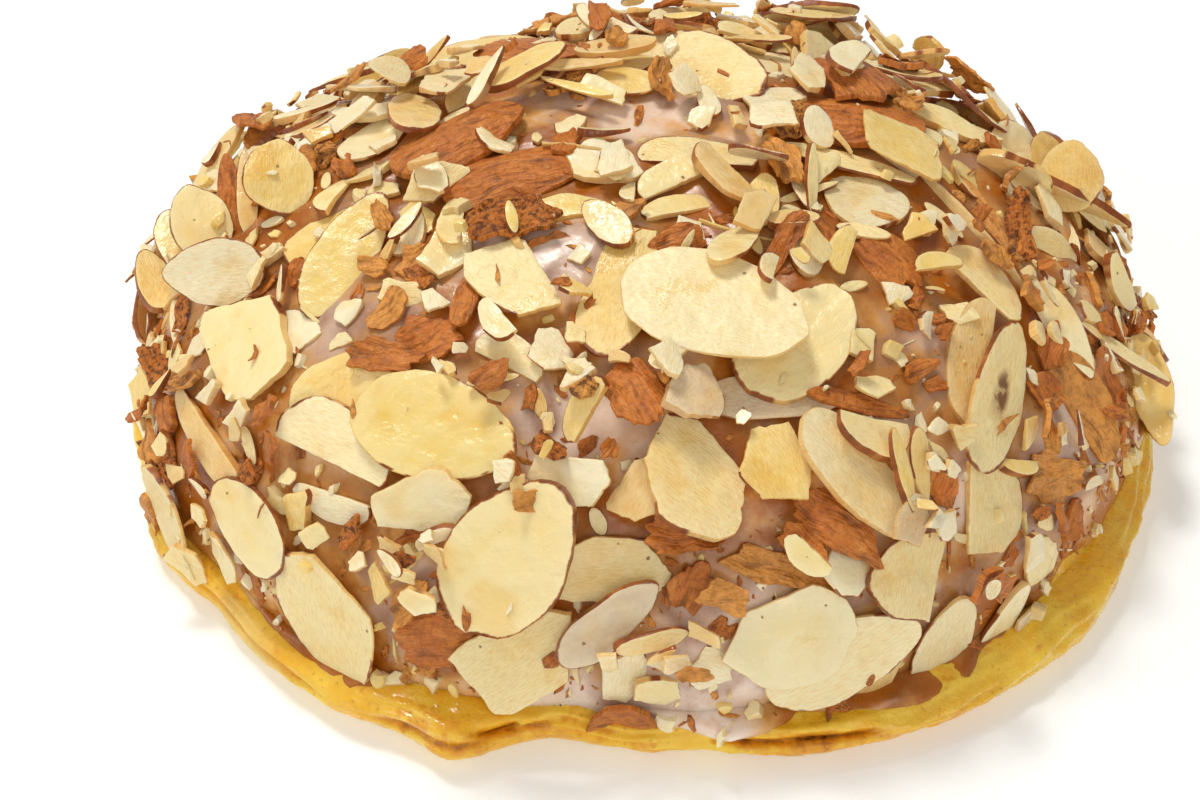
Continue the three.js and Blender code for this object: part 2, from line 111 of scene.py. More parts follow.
@dataclass(frozen=True)
class PastryForm:
    """The baked body's shape in millimetres.

    A place on it is a bearing (degrees round from +X) and a drop (0 at the crown, 1 at the dome's foot).
    """

    half_width: float = 63.5
    front_depth: float = 54.0
    back_depth: float = 51.0
    crown_height: float = 40.0
    crown_setback: float = 4.0
    rim_height: float = 6.0
    rim_reach: float = 0.055
    foot_share: float = 0.95
    base_share: float = 0.86
    plan_power: float = 2.05
    dome_power: float = 2.3
    toe_top: float = 0.55
    toe_cuts: tuple[tuple[float, float, float], ...] = (
        (261, 5, 1.2), (216, 6, 1.2), (194, 5, 1.4), (160, 5, 2.6), (118, 5, 2.6), (76, 5, 2.2),
    )
    toes: tuple[tuple[float, float, float], ...] = (
        (238, 10, 2), (250, 4.5, 3), (300, 20, 3.3), (322, 11, 1.9), (139, 12, 1.6), (97, 11, 1.4),
        (56, 12, 1.6),
    )
    lifts: tuple[tuple[float, float, float], ...] = (
        (268, 15, 1.9), (236, 7, 0.9), (294, 9, 0.9), (338, 12, 1.4), (120, 16, 1.2),
    )
    underside_angle: float = -60.0

    def plan_radius(self, bearing: Array) -> Array:
        """Gives how far the outline reaches from the middle."""
        phi = np.radians(bearing)
        depth = np.where(np.sin(phi) > 0, self.back_depth, self.front_depth)
        across = np.abs(np.cos(phi) / self.half_width) ** self.plan_power
        along = np.abs(np.sin(phi) / depth) ** self.plan_power
        return (across + along) ** (-1 / self.plan_power)

    def smooth_dome(self, bearing: Array, drop: Array) -> Array:
        """Gives points on the plain dome, with no lumps."""
        phi = np.radians(bearing)
        angle = np.asarray(drop) * math.pi / 2
        reach = self.plan_radius(bearing) * self.foot_share * np.sin(angle) ** (2 / self.dome_power)
        rise = np.cos(angle)
        height = self.rim_height + (self.crown_height - self.rim_height) * rise
        return np.stack(
            np.broadcast_arrays(
                reach * np.cos(phi), reach * np.sin(phi) + self.crown_setback * rise, height
            ),
            -1,
        )

    def normal(self, bearing: Array, drop: Array) -> Array:
        """Gives the plain dome's outward direction."""
        near = np.clip(drop, 0.03, 0.985)
        around = self.smooth_dome(bearing + 0.4, near) - self.smooth_dome(bearing - 0.4, near)
        down = self.smooth_dome(bearing, near - 0.004) - self.smooth_dome(bearing, near + 0.004)
        return unit(np.cross(around, down))

    def lump_height(self, bearing: Array, drop: Array) -> Array:
        """Gives how far the baked lumps stand out."""
        phi = np.radians(bearing)
        fade = np.sqrt(np.maximum(np.sin(math.pi * np.minimum(drop, 1)), 0))
        broad = 0.55 * np.sin(3 * phi + 0.9) * np.cos(5 * drop + 0.4)
        middling = 0.45 * np.sin(5 * phi - 1.3 + 3 * drop)
        narrow = 0.35 * np.cos(8 * phi + 2.1 - 6 * drop)
        return fade * (broad + middling + narrow)

    def surface(self, bearing: Array, drop: Array) -> Array:
        """Gives points on the lumpy dome that the almonds lie on."""
        bearing, drop = np.asarray(bearing, float), np.asarray(drop, float)
        return (
            self.smooth_dome(bearing, drop)
            + self.normal(bearing, drop) * self.lump_height(bearing, drop)[..., None]
        )

    def toe_depth(self, bearing: Array, drop: Array) -> Array:
        """Gives how deep the cuts between the toes go in."""
        fade = smoothstep(drop, self.toe_top, 1)
        return sum(cut * fade * bump(bearing, at, width) for at, width, cut in self.toe_cuts)

    def toe_reach(self, bearing: Array) -> Array:
        """Gives how far the toes spread the rim out past its plain outline."""
        return sum(out * bump(bearing, at, width) for at, width, out in self.toes)

    def rim_lift(self, bearing: Array) -> Array:
        """Gives how far the rim curls up off the table."""
        return sum(lift * bump(bearing, at, width) for at, width, lift in self.lifts)

    def rim_point(self, bearing: Array, angle: Array) -> Array:
        """Gives points on the rounded rim: angle 90 is its top and 0 its outermost line."""
        phi, turn = np.radians(bearing), np.radians(angle)
        middle = (self.rim_height + self.rim_lift(bearing)) / 2
        radius = self.plan_radius(bearing)
        spread = radius * self.rim_reach + self.toe_reach(bearing)
        reach = radius * (1 - self.rim_reach) + spread * np.cos(turn)
        height = middle + (self.rim_height - middle) * np.sin(turn)
        return np.stack(
            np.broadcast_arrays(reach * np.cos(phi), reach * np.sin(phi), height), -1
        )

    def skin(self, bearing: Array, drop: Array) -> Array:
        """Gives points on the whole outside: the dome down to drop 1, then the rim to drop 2.

        Args:
            bearing: degrees round from +X.
            drop: 0 at the crown, 1 at the dome's foot and 2 under the rim.

        Returns:
            The points, in millimetres.
        """
        bearing, drop = np.broadcast_arrays(np.asarray(bearing, float), np.asarray(drop, float))
        dome = self.surface(bearing, np.minimum(drop, 1))
        rim = self.rim_point(bearing, 90 + (self.underside_angle - 90) * np.clip(drop - 1, 0, 1))
        points = np.where((drop <= 1)[..., None], dome, rim)
        radius = np.maximum(np.hypot(points[..., 0], points[..., 1]), 1e-6)
        share = (radius - self.toe_depth(bearing, np.minimum(drop, 1))) / radius
        share = np.where(drop <= 0, 1, share)
        return points * np.stack([share, share, np.ones_like(share)], -1)

    def outward(self, bearing: Array, drop: Array) -> Array:
        """Gives the outside's direction on the dome and the rim alike."""
        bearing, drop = np.broadcast_arrays(np.asarray(bearing, float), np.asarray(drop, float))
        near = np.maximum(drop, 0.02)
        around = self.skin(bearing + 0.6, near) - self.skin(bearing - 0.6, near)
        down = self.skin(bearing, near - 0.012) - self.skin(bearing, near + 0.012)
        return unit(np.cross(around, down))


# ---------------------------------------------------------------- the almonds' places


class Kind(Enum):
    """What an almond piece is, by the way that it was cut or broken."""

    WHOLE = "whole"
    HALF = "half"
    CORNER = "corner"
    BLUNT = "blunt"
    BITTEN = "bitten"
    CHIP = "chip"
    SLIVER = "sliver"
    SKIN = "skin"


class Tone(Enum):
    """The colour of one piece, from fresh-cut white to baked and iced."""

    WHITE = srgb(254, 241, 208)
    PALE = srgb(253, 235, 190)
    CREAM = srgb(252, 228, 168)
    YELLOW = srgb(247, 214, 130)
    TAN = srgb(238, 200, 132)
    ICED = srgb(222, 200, 172)
    BROWN = srgb(202, 118, 44)
    ORANGE = srgb(238, 172, 84)


PALE_TONES = (Tone.WHITE, Tone.CREAM, Tone.PALE, Tone.YELLOW)
SKIN_TONES = (Tone.BROWN, Tone.BROWN, Tone.ORANGE)
W, H, CO, BL, BI, C, S, K = Kind
LEFT_FLANK = (
    (K, 204, 0.84, 100, 9, 3.5, 0, Tone.BROWN),
    (W, 207, 0.94, 125, 13, 7, 0, Tone.CREAM),
    (C, 217, 0.92, 120, 7, 4, 0, Tone.CREAM),
    (W, 180, 0.75, 86, 9, 4.5, 80, Tone.YELLOW, 31),
    (H, 209, 0.73, 135, 16, 5.5, 0, Tone.TAN),
    (W, 221, 0.8, 140, 13, 9, 0, Tone.CREAM),
    (H, 230, 0.69, 165, 10, 4.5, 0, Tone.WHITE),
    (W, 224, 0.53, 20, 13, 8, 0, Tone.YELLOW),
    (H, 228, 0.61, -25, 15, 9, 0, Tone.PALE),
    (C, 210, 0.51, -20, 10, 5.5, 0, Tone.WHITE),
    (C, 207, 0.57, -60, 18, 11, 0, Tone.CREAM),
    (W, 194.5, 0.55, 177, 12, 7.5, 130, Tone.WHITE, 21),
    (W, 198, 0.37, 15, 13, 8, 0, Tone.YELLOW),
    (W, 204.5, 0.375, 62, 16.5, 7.2, 20, Tone.YELLOW),
    (C, 205, 0.27, -50, 7, 4.5, 0, Tone.YELLOW),
    (C, 221, 0.37, -10, 7, 3.5, 0, Tone.CREAM),
    (K, 218, 0.32, 25, 6, 5, 0, Tone.ORANGE),
    (C, 222, 0.29, 60, 8, 6, 0, Tone.PALE),
    (K, 231, 0.41, 10, 9, 6, 0, Tone.BROWN),
    (K, 228, 0.46, -10, 10, 3.5, 0, Tone.BROWN),
    (S, 233, 0.34, 80, 8, 2.5, 0, Tone.BROWN),
    (W, 240, 0.53, -18, 18, 11, 0, Tone.YELLOW),
    (C, 242, 0.64, 10, 14, 7.5, 0, Tone.PALE),
)
FRONT_EDGE = (
    (K, 246, 0.87, 10, 11, 8, 0, Tone.BROWN),
    (K, 243, 0.81, 60, 7, 3, 0, Tone.ORANGE),
    (C, 256, 0.87, 40, 16, 11.5, 0, Tone.CREAM),
    (BI, 233, 0.9, -78, 18, 13, 0, Tone.CREAM),
    (C, 266, 0.71, 5, 15, 7.5, 0, Tone.CREAM),
    (W, 266, 0.79, 42, 13, 5.5, 0, Tone.ICED),
    (K, 276, 0.73, 60, 7, 5, 0, Tone.BROWN),
    (C, 268, 0.9, 75, 8, 5, 0, Tone.WHITE),
    (C, 272, 0.93, -10, 6.5, 4, 0, Tone.CREAM),
    (S, 271, 0.82, 10, 8, 2.6, 0, Tone.CREAM),
    (K, 268, 0.98, 5, 8, 4, 0, Tone.BROWN),
    (C, 278, 0.89, -30, 5.5, 5, 0, Tone.WHITE),
    (K, 287, 0.72, -18, 15, 3.5, 0, Tone.ORANGE),
    (BL, 297, 0.97, 60, 13.5, 5.5, 0, Tone.TAN),
    (W, 293, 0.9, 22, 17.5, 9.5, 0, Tone.PALE),
    (C, 287, 0.83, 5, 16, 12, 0, Tone.PALE),
    (W, 306, 0.95, 78, 12.5, 7.5, 0, Tone.PALE),
    (C, 294, 0.74, -10, 7, 5, 0, Tone.WHITE),
    (H, 302.5, 0.78, 75, 9.5, 12, 0, Tone.CREAM),
)
MIDDLE = (
    (K, 276, 0.65, 0, 11, 5, 0, Tone.BROWN),
    (C, 270, 0.58, 62, 9, 6, 0, Tone.TAN),
    (C, 277, 0.57, -38, 16, 11, 0, Tone.CREAM),
    (C, 261, 0.57, -5, 11, 6, 0, Tone.WHITE),
    (W, 254.5, 0.69, 52, 18, 12.5, 0, Tone.CREAM),
    (H, 246, 0.4, -30, 8, 5.5, 0, Tone.PALE),
    (C, 253, 0.38, -58, 7, 5, 0, Tone.WHITE),
    (C, 240, 0.29, -45, 15, 8, 0, Tone.CREAM),
    (BL, 265, 0.27, 78, 19, 8, 0, Tone.YELLOW),
    (W, 291, 0.46, 0, 15, 5, 0, Tone.ICED),
    (W, 299, 0.39, 48, 16, 10.5, 0, Tone.CREAM),
    (K, 270, 0.45, -60, 10, 7, 0, Tone.BROWN),
    (C, 278, 0.45, 60, 8.5, 7, 0, Tone.ICED),
    (H, 262, 0.47, 58, 7.5, 4.5, 0, Tone.YELLOW),
    (W, 285, 0.33, -22, 20, 13.5, 0, Tone.PALE),
    (K, 294, 0.66, -35, 13, 5, 0, Tone.BROWN),
    (C, 288, 0.56, -60, 10.5, 9, 0, Tone.YELLOW),
    (W, 298, 0.6, -45, 17, 8, 0, Tone.PALE),
    (S, 303, 0.5, -7, 12, 2, 0, Tone.BROWN),
    (H, 302, 0.545, 175, 9.5, 6.5, 0, Tone.CREAM),
    (S, 306, 0.61, -72, 8.5, 2.4, 0, Tone.YELLOW),
    (C, 301.5, 0.68, 20, 7, 6, 0, Tone.ICED),
)
RIGHT_FLANK = (
    (S, 314, 0.985, 55, 11, 4, 0, Tone.PALE),
    (C, 317.5, 1, 10, 5.5, 4.5, 0, Tone.ICED),
    (C, 320.5, 0.9, 45, 7, 6, 0, Tone.CREAM),
    (CO, 313.5, 0.735, -92, 11.5, 12, 0, Tone.CREAM),
    (H, 323, 0.53, 84, 15, 8, 0, Tone.TAN),
    (W, 322, 0.58, 70, 18.5, 7.5, 0, Tone.CREAM),
    (K, 325, 0.76, 0, 10, 6, 0, Tone.ORANGE),
    (K, 341, 0.74, -55, 11, 5, 0, Tone.BROWN),
    (H, 334, 0.7, -50, 14, 7.5, 20, Tone.ORANGE),
    (W, 350.5, 0.88, 262, 15, 5, 80, Tone.YELLOW, 10),
    (W, 339, 0.59, -60, 13, 5, 20, Tone.PALE),
    (S, 347.5, 0.74, 341, 16, 2.8, 150, Tone.CREAM, 19),
    (H, 355, 0.55, 4, 9, 4, 45, Tone.CREAM, 2),
    (K, 3, 0.76, 110, 11, 5, 20, Tone.BROWN),
    (W, 14, 0.6, 110, 9, 8, 60, Tone.YELLOW),
    (S, 6, 0.58, 341, 18, 3, 130, Tone.CREAM, 20),
    (K, 351.5, 0.47, 101, 12, 3.8, 120, Tone.BROWN, 20),
    (S, 352.5, 0.41, 302, 12.5, 3.8, 50, Tone.ORANGE),
    (S, 348, 0.405, 314, 19.5, 3, 70, Tone.TAN),
    (H, 334, 0.45, -45, 11, 8, 0, Tone.CREAM),
    (K, 326, 0.34, -50, 11, 7, 0, Tone.BROWN),
)
CROWN_AND_BACK = (
    (W, 340, 0.26, 10, 10, 9, 0, Tone.WHITE),
    (W, 7, 0.3, 25, 12, 6, 0, Tone.CREAM),
    (W, 8, 0.235, -5, 16.5, 9.5, 0, Tone.BROWN),
    (H, 348, 0.215, -7, 17, 5, 0, Tone.CREAM),
    (H, 20, 0.42, -20, 16, 6, 0, Tone.CREAM),
    (H, 15, 0.4, -18, 10, 5, 0, Tone.CREAM),
    (C, 18, 0.14, 25, 9, 6, 0, Tone.WHITE),
    (W, 45, 0.25, -28, 11, 7, 0, Tone.PALE),
    (K, 45, 0.4, -10, 13, 6, 20, Tone.BROWN),
    (W, 55, 0.4, -30, 11, 6, 20, Tone.CREAM),
    (W, 60, 0.15, -42, 19, 11, 25, Tone.CREAM),
    (H, 320, 0.07, -5, 14, 7, 0, Tone.CREAM),
    (W, 101, 0.14, 5, 9, 6.5, 0, Tone.YELLOW),
    (W, 102, 0.08, 0, 8, 5, 0, Tone.YELLOW),
    (C, 105, 0.3, 0, 10, 8, 0, Tone.CREAM),
    (W, 142, 0.23, -8, 14, 5, 0, Tone.PALE),
    (W, 127, 0.42, -12, 17, 8, 20, Tone.CREAM),
    (S, 145, 0.47, 42, 17, 3.5, 35, Tone.CREAM),
    (W, 175, 0.3, 45, 10, 6, 0, Tone.PALE),
    (S, 174, 0.21, 45, 9, 2.4, 0, Tone.PALE),
    (W, 184, 0.185, 33, 17, 8.5, 0, Tone.BROWN),
    (W, 209, 0.145, 12, 16.5, 8.5, 0, Tone.BROWN),
    (C, 237, 0.07, -20, 10.5, 7.5, 0, Tone.WHITE),
    (H, 241, 0.16, 5, 9, 5, 0, Tone.YELLOW),
    (H, 288, 0.14, 20, 9, 4, 0, Tone.CREAM),
    (W, 7, 0.575, 134, 9, 7.4, 100, Tone.YELLOW, 32),
    (W, 183, 0.425, 79, 9, 8, 45, Tone.YELLOW, 28),
    (S, 179.5, 0.53, 77, 12, 3, 45, Tone.BROWN, 29),
    (W, 183.5, 0.565, 85, 9.5, 7, 45, Tone.CREAM, 44),
    (W, 182.5, 0.615, 99, 9, 7, 45, Tone.CREAM, 35),
    (S, 302.5, 0.61, -75, 9, 2.2, 0, Tone.YELLOW),
    (K, 8, 0.81, 174, 10, 4.5, 120, Tone.BROWN, -6),
    (S, 180.5, 0.495, 79, 11, 2.5, 45, Tone.TAN, 29),
    (S, 191, 0.69, 107, 9, 2.5, 45, Tone.PALE, 5),
    (K, 194, 0.765, 118, 9, 4.5, 45, Tone.BROWN, 10),
    (S, 0.5, 0.61, 87, 9, 2.6, 120, Tone.PALE, 4),
)
ROWS = LEFT_FLANK + FRONT_EDGE + MIDDLE + RIGHT_FLANK + CROWN_AND_BACK
LEFT_FRINGE = (
    (C, 184, 0.96, 100, 8, 5, 12, Tone.CREAM),
    (K, 187, 0.93, 80, 8, 4, 20, Tone.BROWN),
    (C, 189, 0.985, 70, 7.5, 5, 15, Tone.WHITE),
    (S, 192, 0.95, 115, 8.5, 2.4, 40, Tone.CREAM),
    (C, 194.5, 0.985, 95, 8.5, 5.5, 12, Tone.PALE),
    (K, 197.5, 0.96, 100, 8, 4, 15, Tone.BROWN),
    (C, 200, 0.985, 120, 8, 4.5, 12, Tone.YELLOW),
    (K, 202.5, 0.985, 70, 7, 3.5, 10, Tone.ORANGE),
    (C, 211.5, 0.985, 125, 7, 4.5, 10, Tone.CREAM),
    (C, 190.5, 0.88, 120, 8, 5, 25, Tone.YELLOW),
)


@dataclass
class Almond:
    """One almond piece: its kind, its place on the dome and, once laid, its pose in millimetres."""

    kind: Kind
    bearing: float
    drop: float
    heading: float
    length: float
    width: float
    lean: float
    tone: Tone
    rise: float = 0.0
    index: int = 0
    raised: float = 0.0
    breaks: list[tuple[float, float]] = field(default_factory=list)
    at: Array | None = None
    along: Array | None = None
    across: Array | None = None
    up: Array | None = None

    def local(self, points: Array) -> Array:
        """Turns points on the pastry into this piece's own length, width and height."""
        return (points - self.at) @ np.stack([self.along, self.across, self.up], -1)

    def placed(self, points: Array) -> Array:
        """Turns this piece's own points into points on the pastry."""
        return self.at + points @ np.stack([self.along, self.across, self.up])


@dataclass(frozen=True)
class AlmondPile:
    """The rule by which the almonds come to rest on the dome and on each other."""

    form: PastryForm
    top: float = 1.5
    bend_radius: float = 55.0
    max_tilt: float = math.tan(math.radians(28))
    standing_lean: float = 30.0
    root_sink: float = 1.0
    fill_count: int = 36
    fill_seed: int = 41
    fill_from: float = 12.0
    fill_to: float = 172.0
    fill_kinds: tuple[Kind, ...] = (W, C, H, W, K, C, W, S, H, C)
    fill_tones: tuple[Tone, ...] = (
        Tone.CREAM, Tone.PALE, Tone.YELLOW, Tone.WHITE, Tone.TAN, Tone.CREAM, Tone.ICED,
    )
    scatter_round: float = 0.754877
    scatter_down: float = 0.56984
    break_seed: int = 900

    def breaks_of(self, kind: Kind, draw: Draw) -> list[tuple[float, float]]:
        """Gives the straight breaks of a piece: direction in degrees, and share of its reach.

        Args:
            kind: what the piece is.
            draw: the generator that chips and skins take their corners from.

        Returns:
            The breaks, in the order that they are cut.
        """
        chipped = {Kind.CHIP: (5, 0.66, 0.9), Kind.SKIN: (6, 0.7, 0.92)}
        plain = {
            Kind.HALF: [(-90, 0.35)],
            Kind.CORNER: [(-90, 0.35), (0, 0.75)],
            Kind.BLUNT: [(-8, 0.8)],
            Kind.BITTEN: [(180, 0.86), (130, 0.72)],
        }
        if kind not in chipped:
            return plain.get(kind, [])
        corners, least, most = chipped[kind]
        return [
            (360 / corners * (corner + 0.7 * draw()), least + (most - least) * draw())
            for corner in range(corners)
        ]

    def seat(self, almond: Almond) -> None:
        """Sets a piece flat on the dome at its place and heading."""
        up = self.form.normal(almond.bearing, almond.drop)
        level = unit(np.array([1.0, 0, 0]) - up[0] * up)
        side = np.cross(up, level)
        heading = math.radians(almond.heading)
        almond.at = self.form.surface(almond.bearing, almond.drop)
        almond.along = level * math.cos(heading) + side * math.sin(heading)
        almond.across = np.cross(up, almond.along)
        almond.up = up

    def top_height(self, below: Almond, points: Array, up: Array) -> Array:
        """Gives how high a laid piece's top is over some points, or minus infinity where it isn't there.

        Args:
            below: the piece that was laid before.
            points: where to look from.
            up: the direction to look in.

        Returns:
            One height for each point.
        """
        facing = float(below.up @ up)
        if below.lean >= self.standing_lean or abs(facing) < 0.3:
            return np.full(len(points), -np.inf)
        height = (below.at + below.up * self.top - points) @ below.up / facing
        offset = points + height[:, None] * up - below.at
        u = offset @ below.along / (below.length / 2)
        v = offset @ below.across / (below.width / 2)
        here = (u * u + v * v < 0.9) & (height > -3) & (height < 6)
        return np.where(here, height, -np.inf)

    def lay_flat(self, almond: Almond, laid: list[Almond]) -> None:
        """Rests a piece on the dome and on the pieces below it, tilted as they make it."""
        turns = [(0.0, 0.0)]
        turns += [(2 * math.pi * step / 8, 0.55) for step in range(8)]
        turns += [(2 * math.pi * step / 12, 0.95) for step in range(12)]
        probes = np.array(
            [
                (share * almond.length * math.cos(t) / 2, share * almond.width * math.sin(t) / 2)
                for t, share in turns
            ]
        )
        points = almond.at + probes[:, :1] * almond.along + probes[:, 1:] * almond.across
        heights = -(probes**2).sum(1) / (2 * self.bend_radius)
        for other in laid:
            reach = (other.length + almond.length) / 2 + 2
            if np.linalg.norm(other.at - almond.at) < reach:
                heights = np.maximum(heights, self.top_height(other, points, almond.up))
        slope = 0.8 * (probes * heights[:, None]).sum(0) / (probes**2).sum(0)
        steepness = math.hypot(*slope)
        if steepness > self.max_tilt:
            slope *= self.max_tilt / steepness
        slope[1] += math.tan(math.radians(almond.lean))
        clearance = (heights - probes @ slope).max() - (self.root_sink if almond.lean > 0 else 0.2)
        along = unit(almond.along + slope[0] * almond.up)
        across = almond.across + slope[1] * almond.up
        across = unit(across - (across @ along) * along)
        almond.raised = float(clearance)
        almond.at = almond.at + almond.up * clearance
        almond.along, almond.across, almond.up = along, across, np.cross(along, across)

    def stand_on_edge(self, almond: Almond) -> None:
        """Stands a piece on one long edge or, where it rises, on its low end."""
        lean, rise = math.radians(almond.lean), math.radians(almond.rise)
        reach = almond.length / 2 * math.cos(rise)
        fall_away = reach**2 / (2 * self.bend_radius) if almond.rise else 0
        by_width = almond.width / 2 * math.sin(lean) * math.cos(rise)
        by_length = almond.length / 2 * abs(math.sin(rise))
        almond.at = almond.at + almond.up * (by_width + by_length - self.root_sink - fall_away)
        along = almond.along * math.cos(rise) + almond.up * math.sin(rise)
        up = almond.up * math.cos(rise) - almond.along * math.sin(rise)
        across = almond.across * math.cos(lean) + up * math.sin(lean)
        almond.along, almond.across, almond.up = along, across, np.cross(along, across)

    def lay(self, almond: Almond, laid: list[Almond]) -> None:
        """Lays one more piece on those before it."""
        almond.breaks = self.breaks_of(almond.kind, seeded_random(self.break_seed + almond.index))
        self.seat(almond)
        if almond.lean >= self.standing_lean:
            self.stand_on_edge(almond)
        else:
            self.lay_flat(almond, laid)
        laid.append(almond)

    def fill(self, laid: list[Almond]) -> None:
        """Adds pieces at evenly scattered places, wherever no almond lies yet."""
        draw = seeded_random(self.fill_seed)
        wanted = len(ROWS) + self.fill_count
        step = 0
        while len(laid) < wanted:
            step += 1
            bearing = 360 * (step * self.scatter_round % 1)
            drop = 0.1 + 0.84 * math.sqrt(step * self.scatter_down % 1)
            kind = self.fill_kinds[int(draw() * len(self.fill_kinds))]
            heading = 180 * draw()
            length = 9 + 4 * draw() if kind is C else 12 + 6 * draw()
            width = 3 if kind is S else length * (0.52 + 0.2 * draw())
            lean = 25 + 40 * draw() if draw() < 0.12 else 0
            point = self.form.surface(bearing, drop)
            room = all(
                np.linalg.norm(other.at - point) > 0.22 * (other.length + other.width) + 1.2
                for other in laid
            )
            if room and self.fill_from < bearing < self.fill_to:
                tone = Tone.BROWN if kind is K else self.fill_tones[len(laid) % len(self.fill_tones)]
                row = (kind, bearing, drop, heading, length, width, lean, tone)
                self.lay(Almond(*row, index=len(laid)), laid)

    def build(self) -> list[Almond]:
        """Lays every almond, bottom ones first."""
        laid: list[Almond] = []
        for index, row in enumerate(ROWS):
            self.lay(Almond(*row, index=index), laid)
        self.fill(laid)
        return laid


# ---------------------------------------------------------------- meshes


def noise_at(points: Array, size: float, seed: float = 0.0, octaves: int = 2) -> Array:
    """Samples smooth noise, about -1 to 1.

    Args:
        points: where to sample, in millimetres.
        size: the width of one lump, in millimetres.
        seed: moves the pattern elsewhere.
        octaves: how many finer copies are added.

    Returns:
        One value for each point.
    """
    moved = np.asarray(points, float).reshape(-1, 3) / size + (seed * 17.3, seed * 5.9, seed * 11.1)
    values = [noise.fractal(Vector(p), 1.0, 2.0, octaves) for p in moved.tolist()]
    return np.array(values).reshape(np.asarray(points).shape[:-1])


def deselect() -> None:
    """Leaves every object unselected."""
    bpy.ops.object.select_all(action="DESELECT")


def select_faces(mesh: bpy.types.Mesh, wanted: Callable[[bmesh.types.BMFace], bool]) -> None:
    """Selects, in edit mode, just the faces that a test accepts.

    Args:
        mesh: the mesh that is being edited.
        wanted: a function of one face.
    """
    edited = bmesh.from_edit_mesh(mesh)
    for face in edited.faces:
        face.select_set(False)
    for face in edited.faces:
        if wanted(face):
            face.select_set(True)
    bmesh.update_edit_mesh(mesh)


def start_disc(corners: int) -> Piece:
    """Adds one flat round face, of radius one, and starts to shape it in edit mode."""
    deselect()
    bpy.ops.mesh.primitive_circle_add(vertices=corners, radius=1, fill_type="NGON")
    disc = bpy.context.object
    bpy.ops.object.mode_set(mode="EDIT")
    bpy.ops.mesh.select_all(action="SELECT")
    return disc


@dataclass
class Sheet:
    """Loose mesh data in millimetres: points, faces and what each point carries."""

    points: Array
    faces: list[tuple[int, ...]]
    carried: dict[str, Array] = field(default_factory=dict)

    @classmethod
    def copied(cls, piece: Piece, unit_size: float = 1.0) -> "Sheet":
        """Copies an object's mesh data, counted in units of a given size, and leaves the object."""
        points = np.empty(len(piece.data.vertices) * 3)
        piece.data.vertices.foreach_get("co", points)
        faces = [tuple(face.vertices) for face in piece.data.polygons]
        return cls(points.reshape(-1, 3) / unit_size, faces)

    @classmethod
    def read(cls, piece: Piece) -> "Sheet":
        """Takes the mesh data out of an object and removes the object."""
        sheet, mesh = cls.copied(piece), piece.data
        bpy.data.objects.remove(piece)
        bpy.data.meshes.remove(mesh)
        return sheet

    @classmethod
    def shaped(cls, disc: Piece) -> "Sheet":
        """Ends the shaping of a disc: turns its faces outwards and takes its mesh data."""
        bpy.ops.mesh.select_all(action="SELECT")
        bpy.ops.mesh.normals_make_consistent(inside=False)
        bpy.ops.object.mode_set(mode="OBJECT")
        return cls.read(disc)

    def smoothed(self, values: Array, rounds: int) -> Array:
        """Evens out a value that each point has with that of its neighbours.

        Args:
            values: one value for each point.
            rounds: how many times it is averaged over the faces round each point.

        Returns:
            The new values.
        """
        corners = np.concatenate(self.faces)
        sizes = np.array([len(face) for face in self.faces])
        owner = np.repeat(np.arange(len(sizes)), sizes)
        shared = np.maximum(np.bincount(corners, minlength=len(values)), 1)
        for _ in range(rounds):
            means = np.bincount(owner, values[corners]) / sizes
            values = np.bincount(corners, means[owner], minlength=len(values)) / shared
        return values

    @classmethod
    def joined(cls, sheets: list["Sheet"]) -> "Sheet":
        """Puts many sheets into one."""
        faces: list[tuple[int, ...]] = []
        start = 0
        for sheet in sheets:
            faces += [tuple(corner + start for corner in face) for face in sheet.faces]
            start += len(sheet.points)
        names = sheets[0].carried
        carried = {name: np.concatenate([sheet.carried[name] for sheet in sheets]) for name in names}
        return cls(np.concatenate([sheet.points for sheet in sheets]), faces, carried)

    def write(self, name: str, sharp: float = 50.0) -> Piece:
        """Makes the object, in metres.

        Args:
            name: the new object's name.
            sharp: faces that meet at more than this many degrees keep a crisp edge.

        Returns:
            The object, at the origin.
        """
        mesh = bpy.data.meshes.new(name)
        mesh.from_pydata((self.points * MM).tolist(), [], self.faces)
        for key, values in self.carried.items():
            kind, part = {3: ("FLOAT_VECTOR", "vector"), 4: ("FLOAT_COLOR", "color")}[values.shape[1]]
            layer = mesh.attributes.new(key, kind, "POINT")
            layer.data.foreach_set(part, np.ascontiguousarray(values, np.float32).ravel())
        piece = bpy.data.objects.new(name, mesh)
        bpy.context.scene.collection.objects.link(piece)
        deselect()
        piece.select_set(True)
        bpy.context.view_layer.objects.active = piece
        bpy.ops.object.shade_smooth_by_angle(angle=math.radians(sharp))
        return piece


def globe(segments: int, rings: int) -> tuple[Sheet, Array, Array]:
    """Models the closed skin that the crust and the icing are shaped from.

    Args:
        segments: how many steps it has round the upright axis.
        rings: how many steps it has from pole to pole.

    Returns:
        The sheet, each point's bearing in degrees, and its share of the way from pole to pole.
    """
    deselect()
    bpy.ops.mesh.primitive_uv_sphere_add(segments=segments, ring_count=rings, radius=1)
    sheet = Sheet.read(bpy.context.object)
    x, y, z = sheet.points.T
    down = np.arccos(np.clip(z, -1, 1)) / math.pi
    return sheet, np.degrees(np.arctan2(y, x)) % 360, down


# ---------------------------------------------------------------- the baked crust


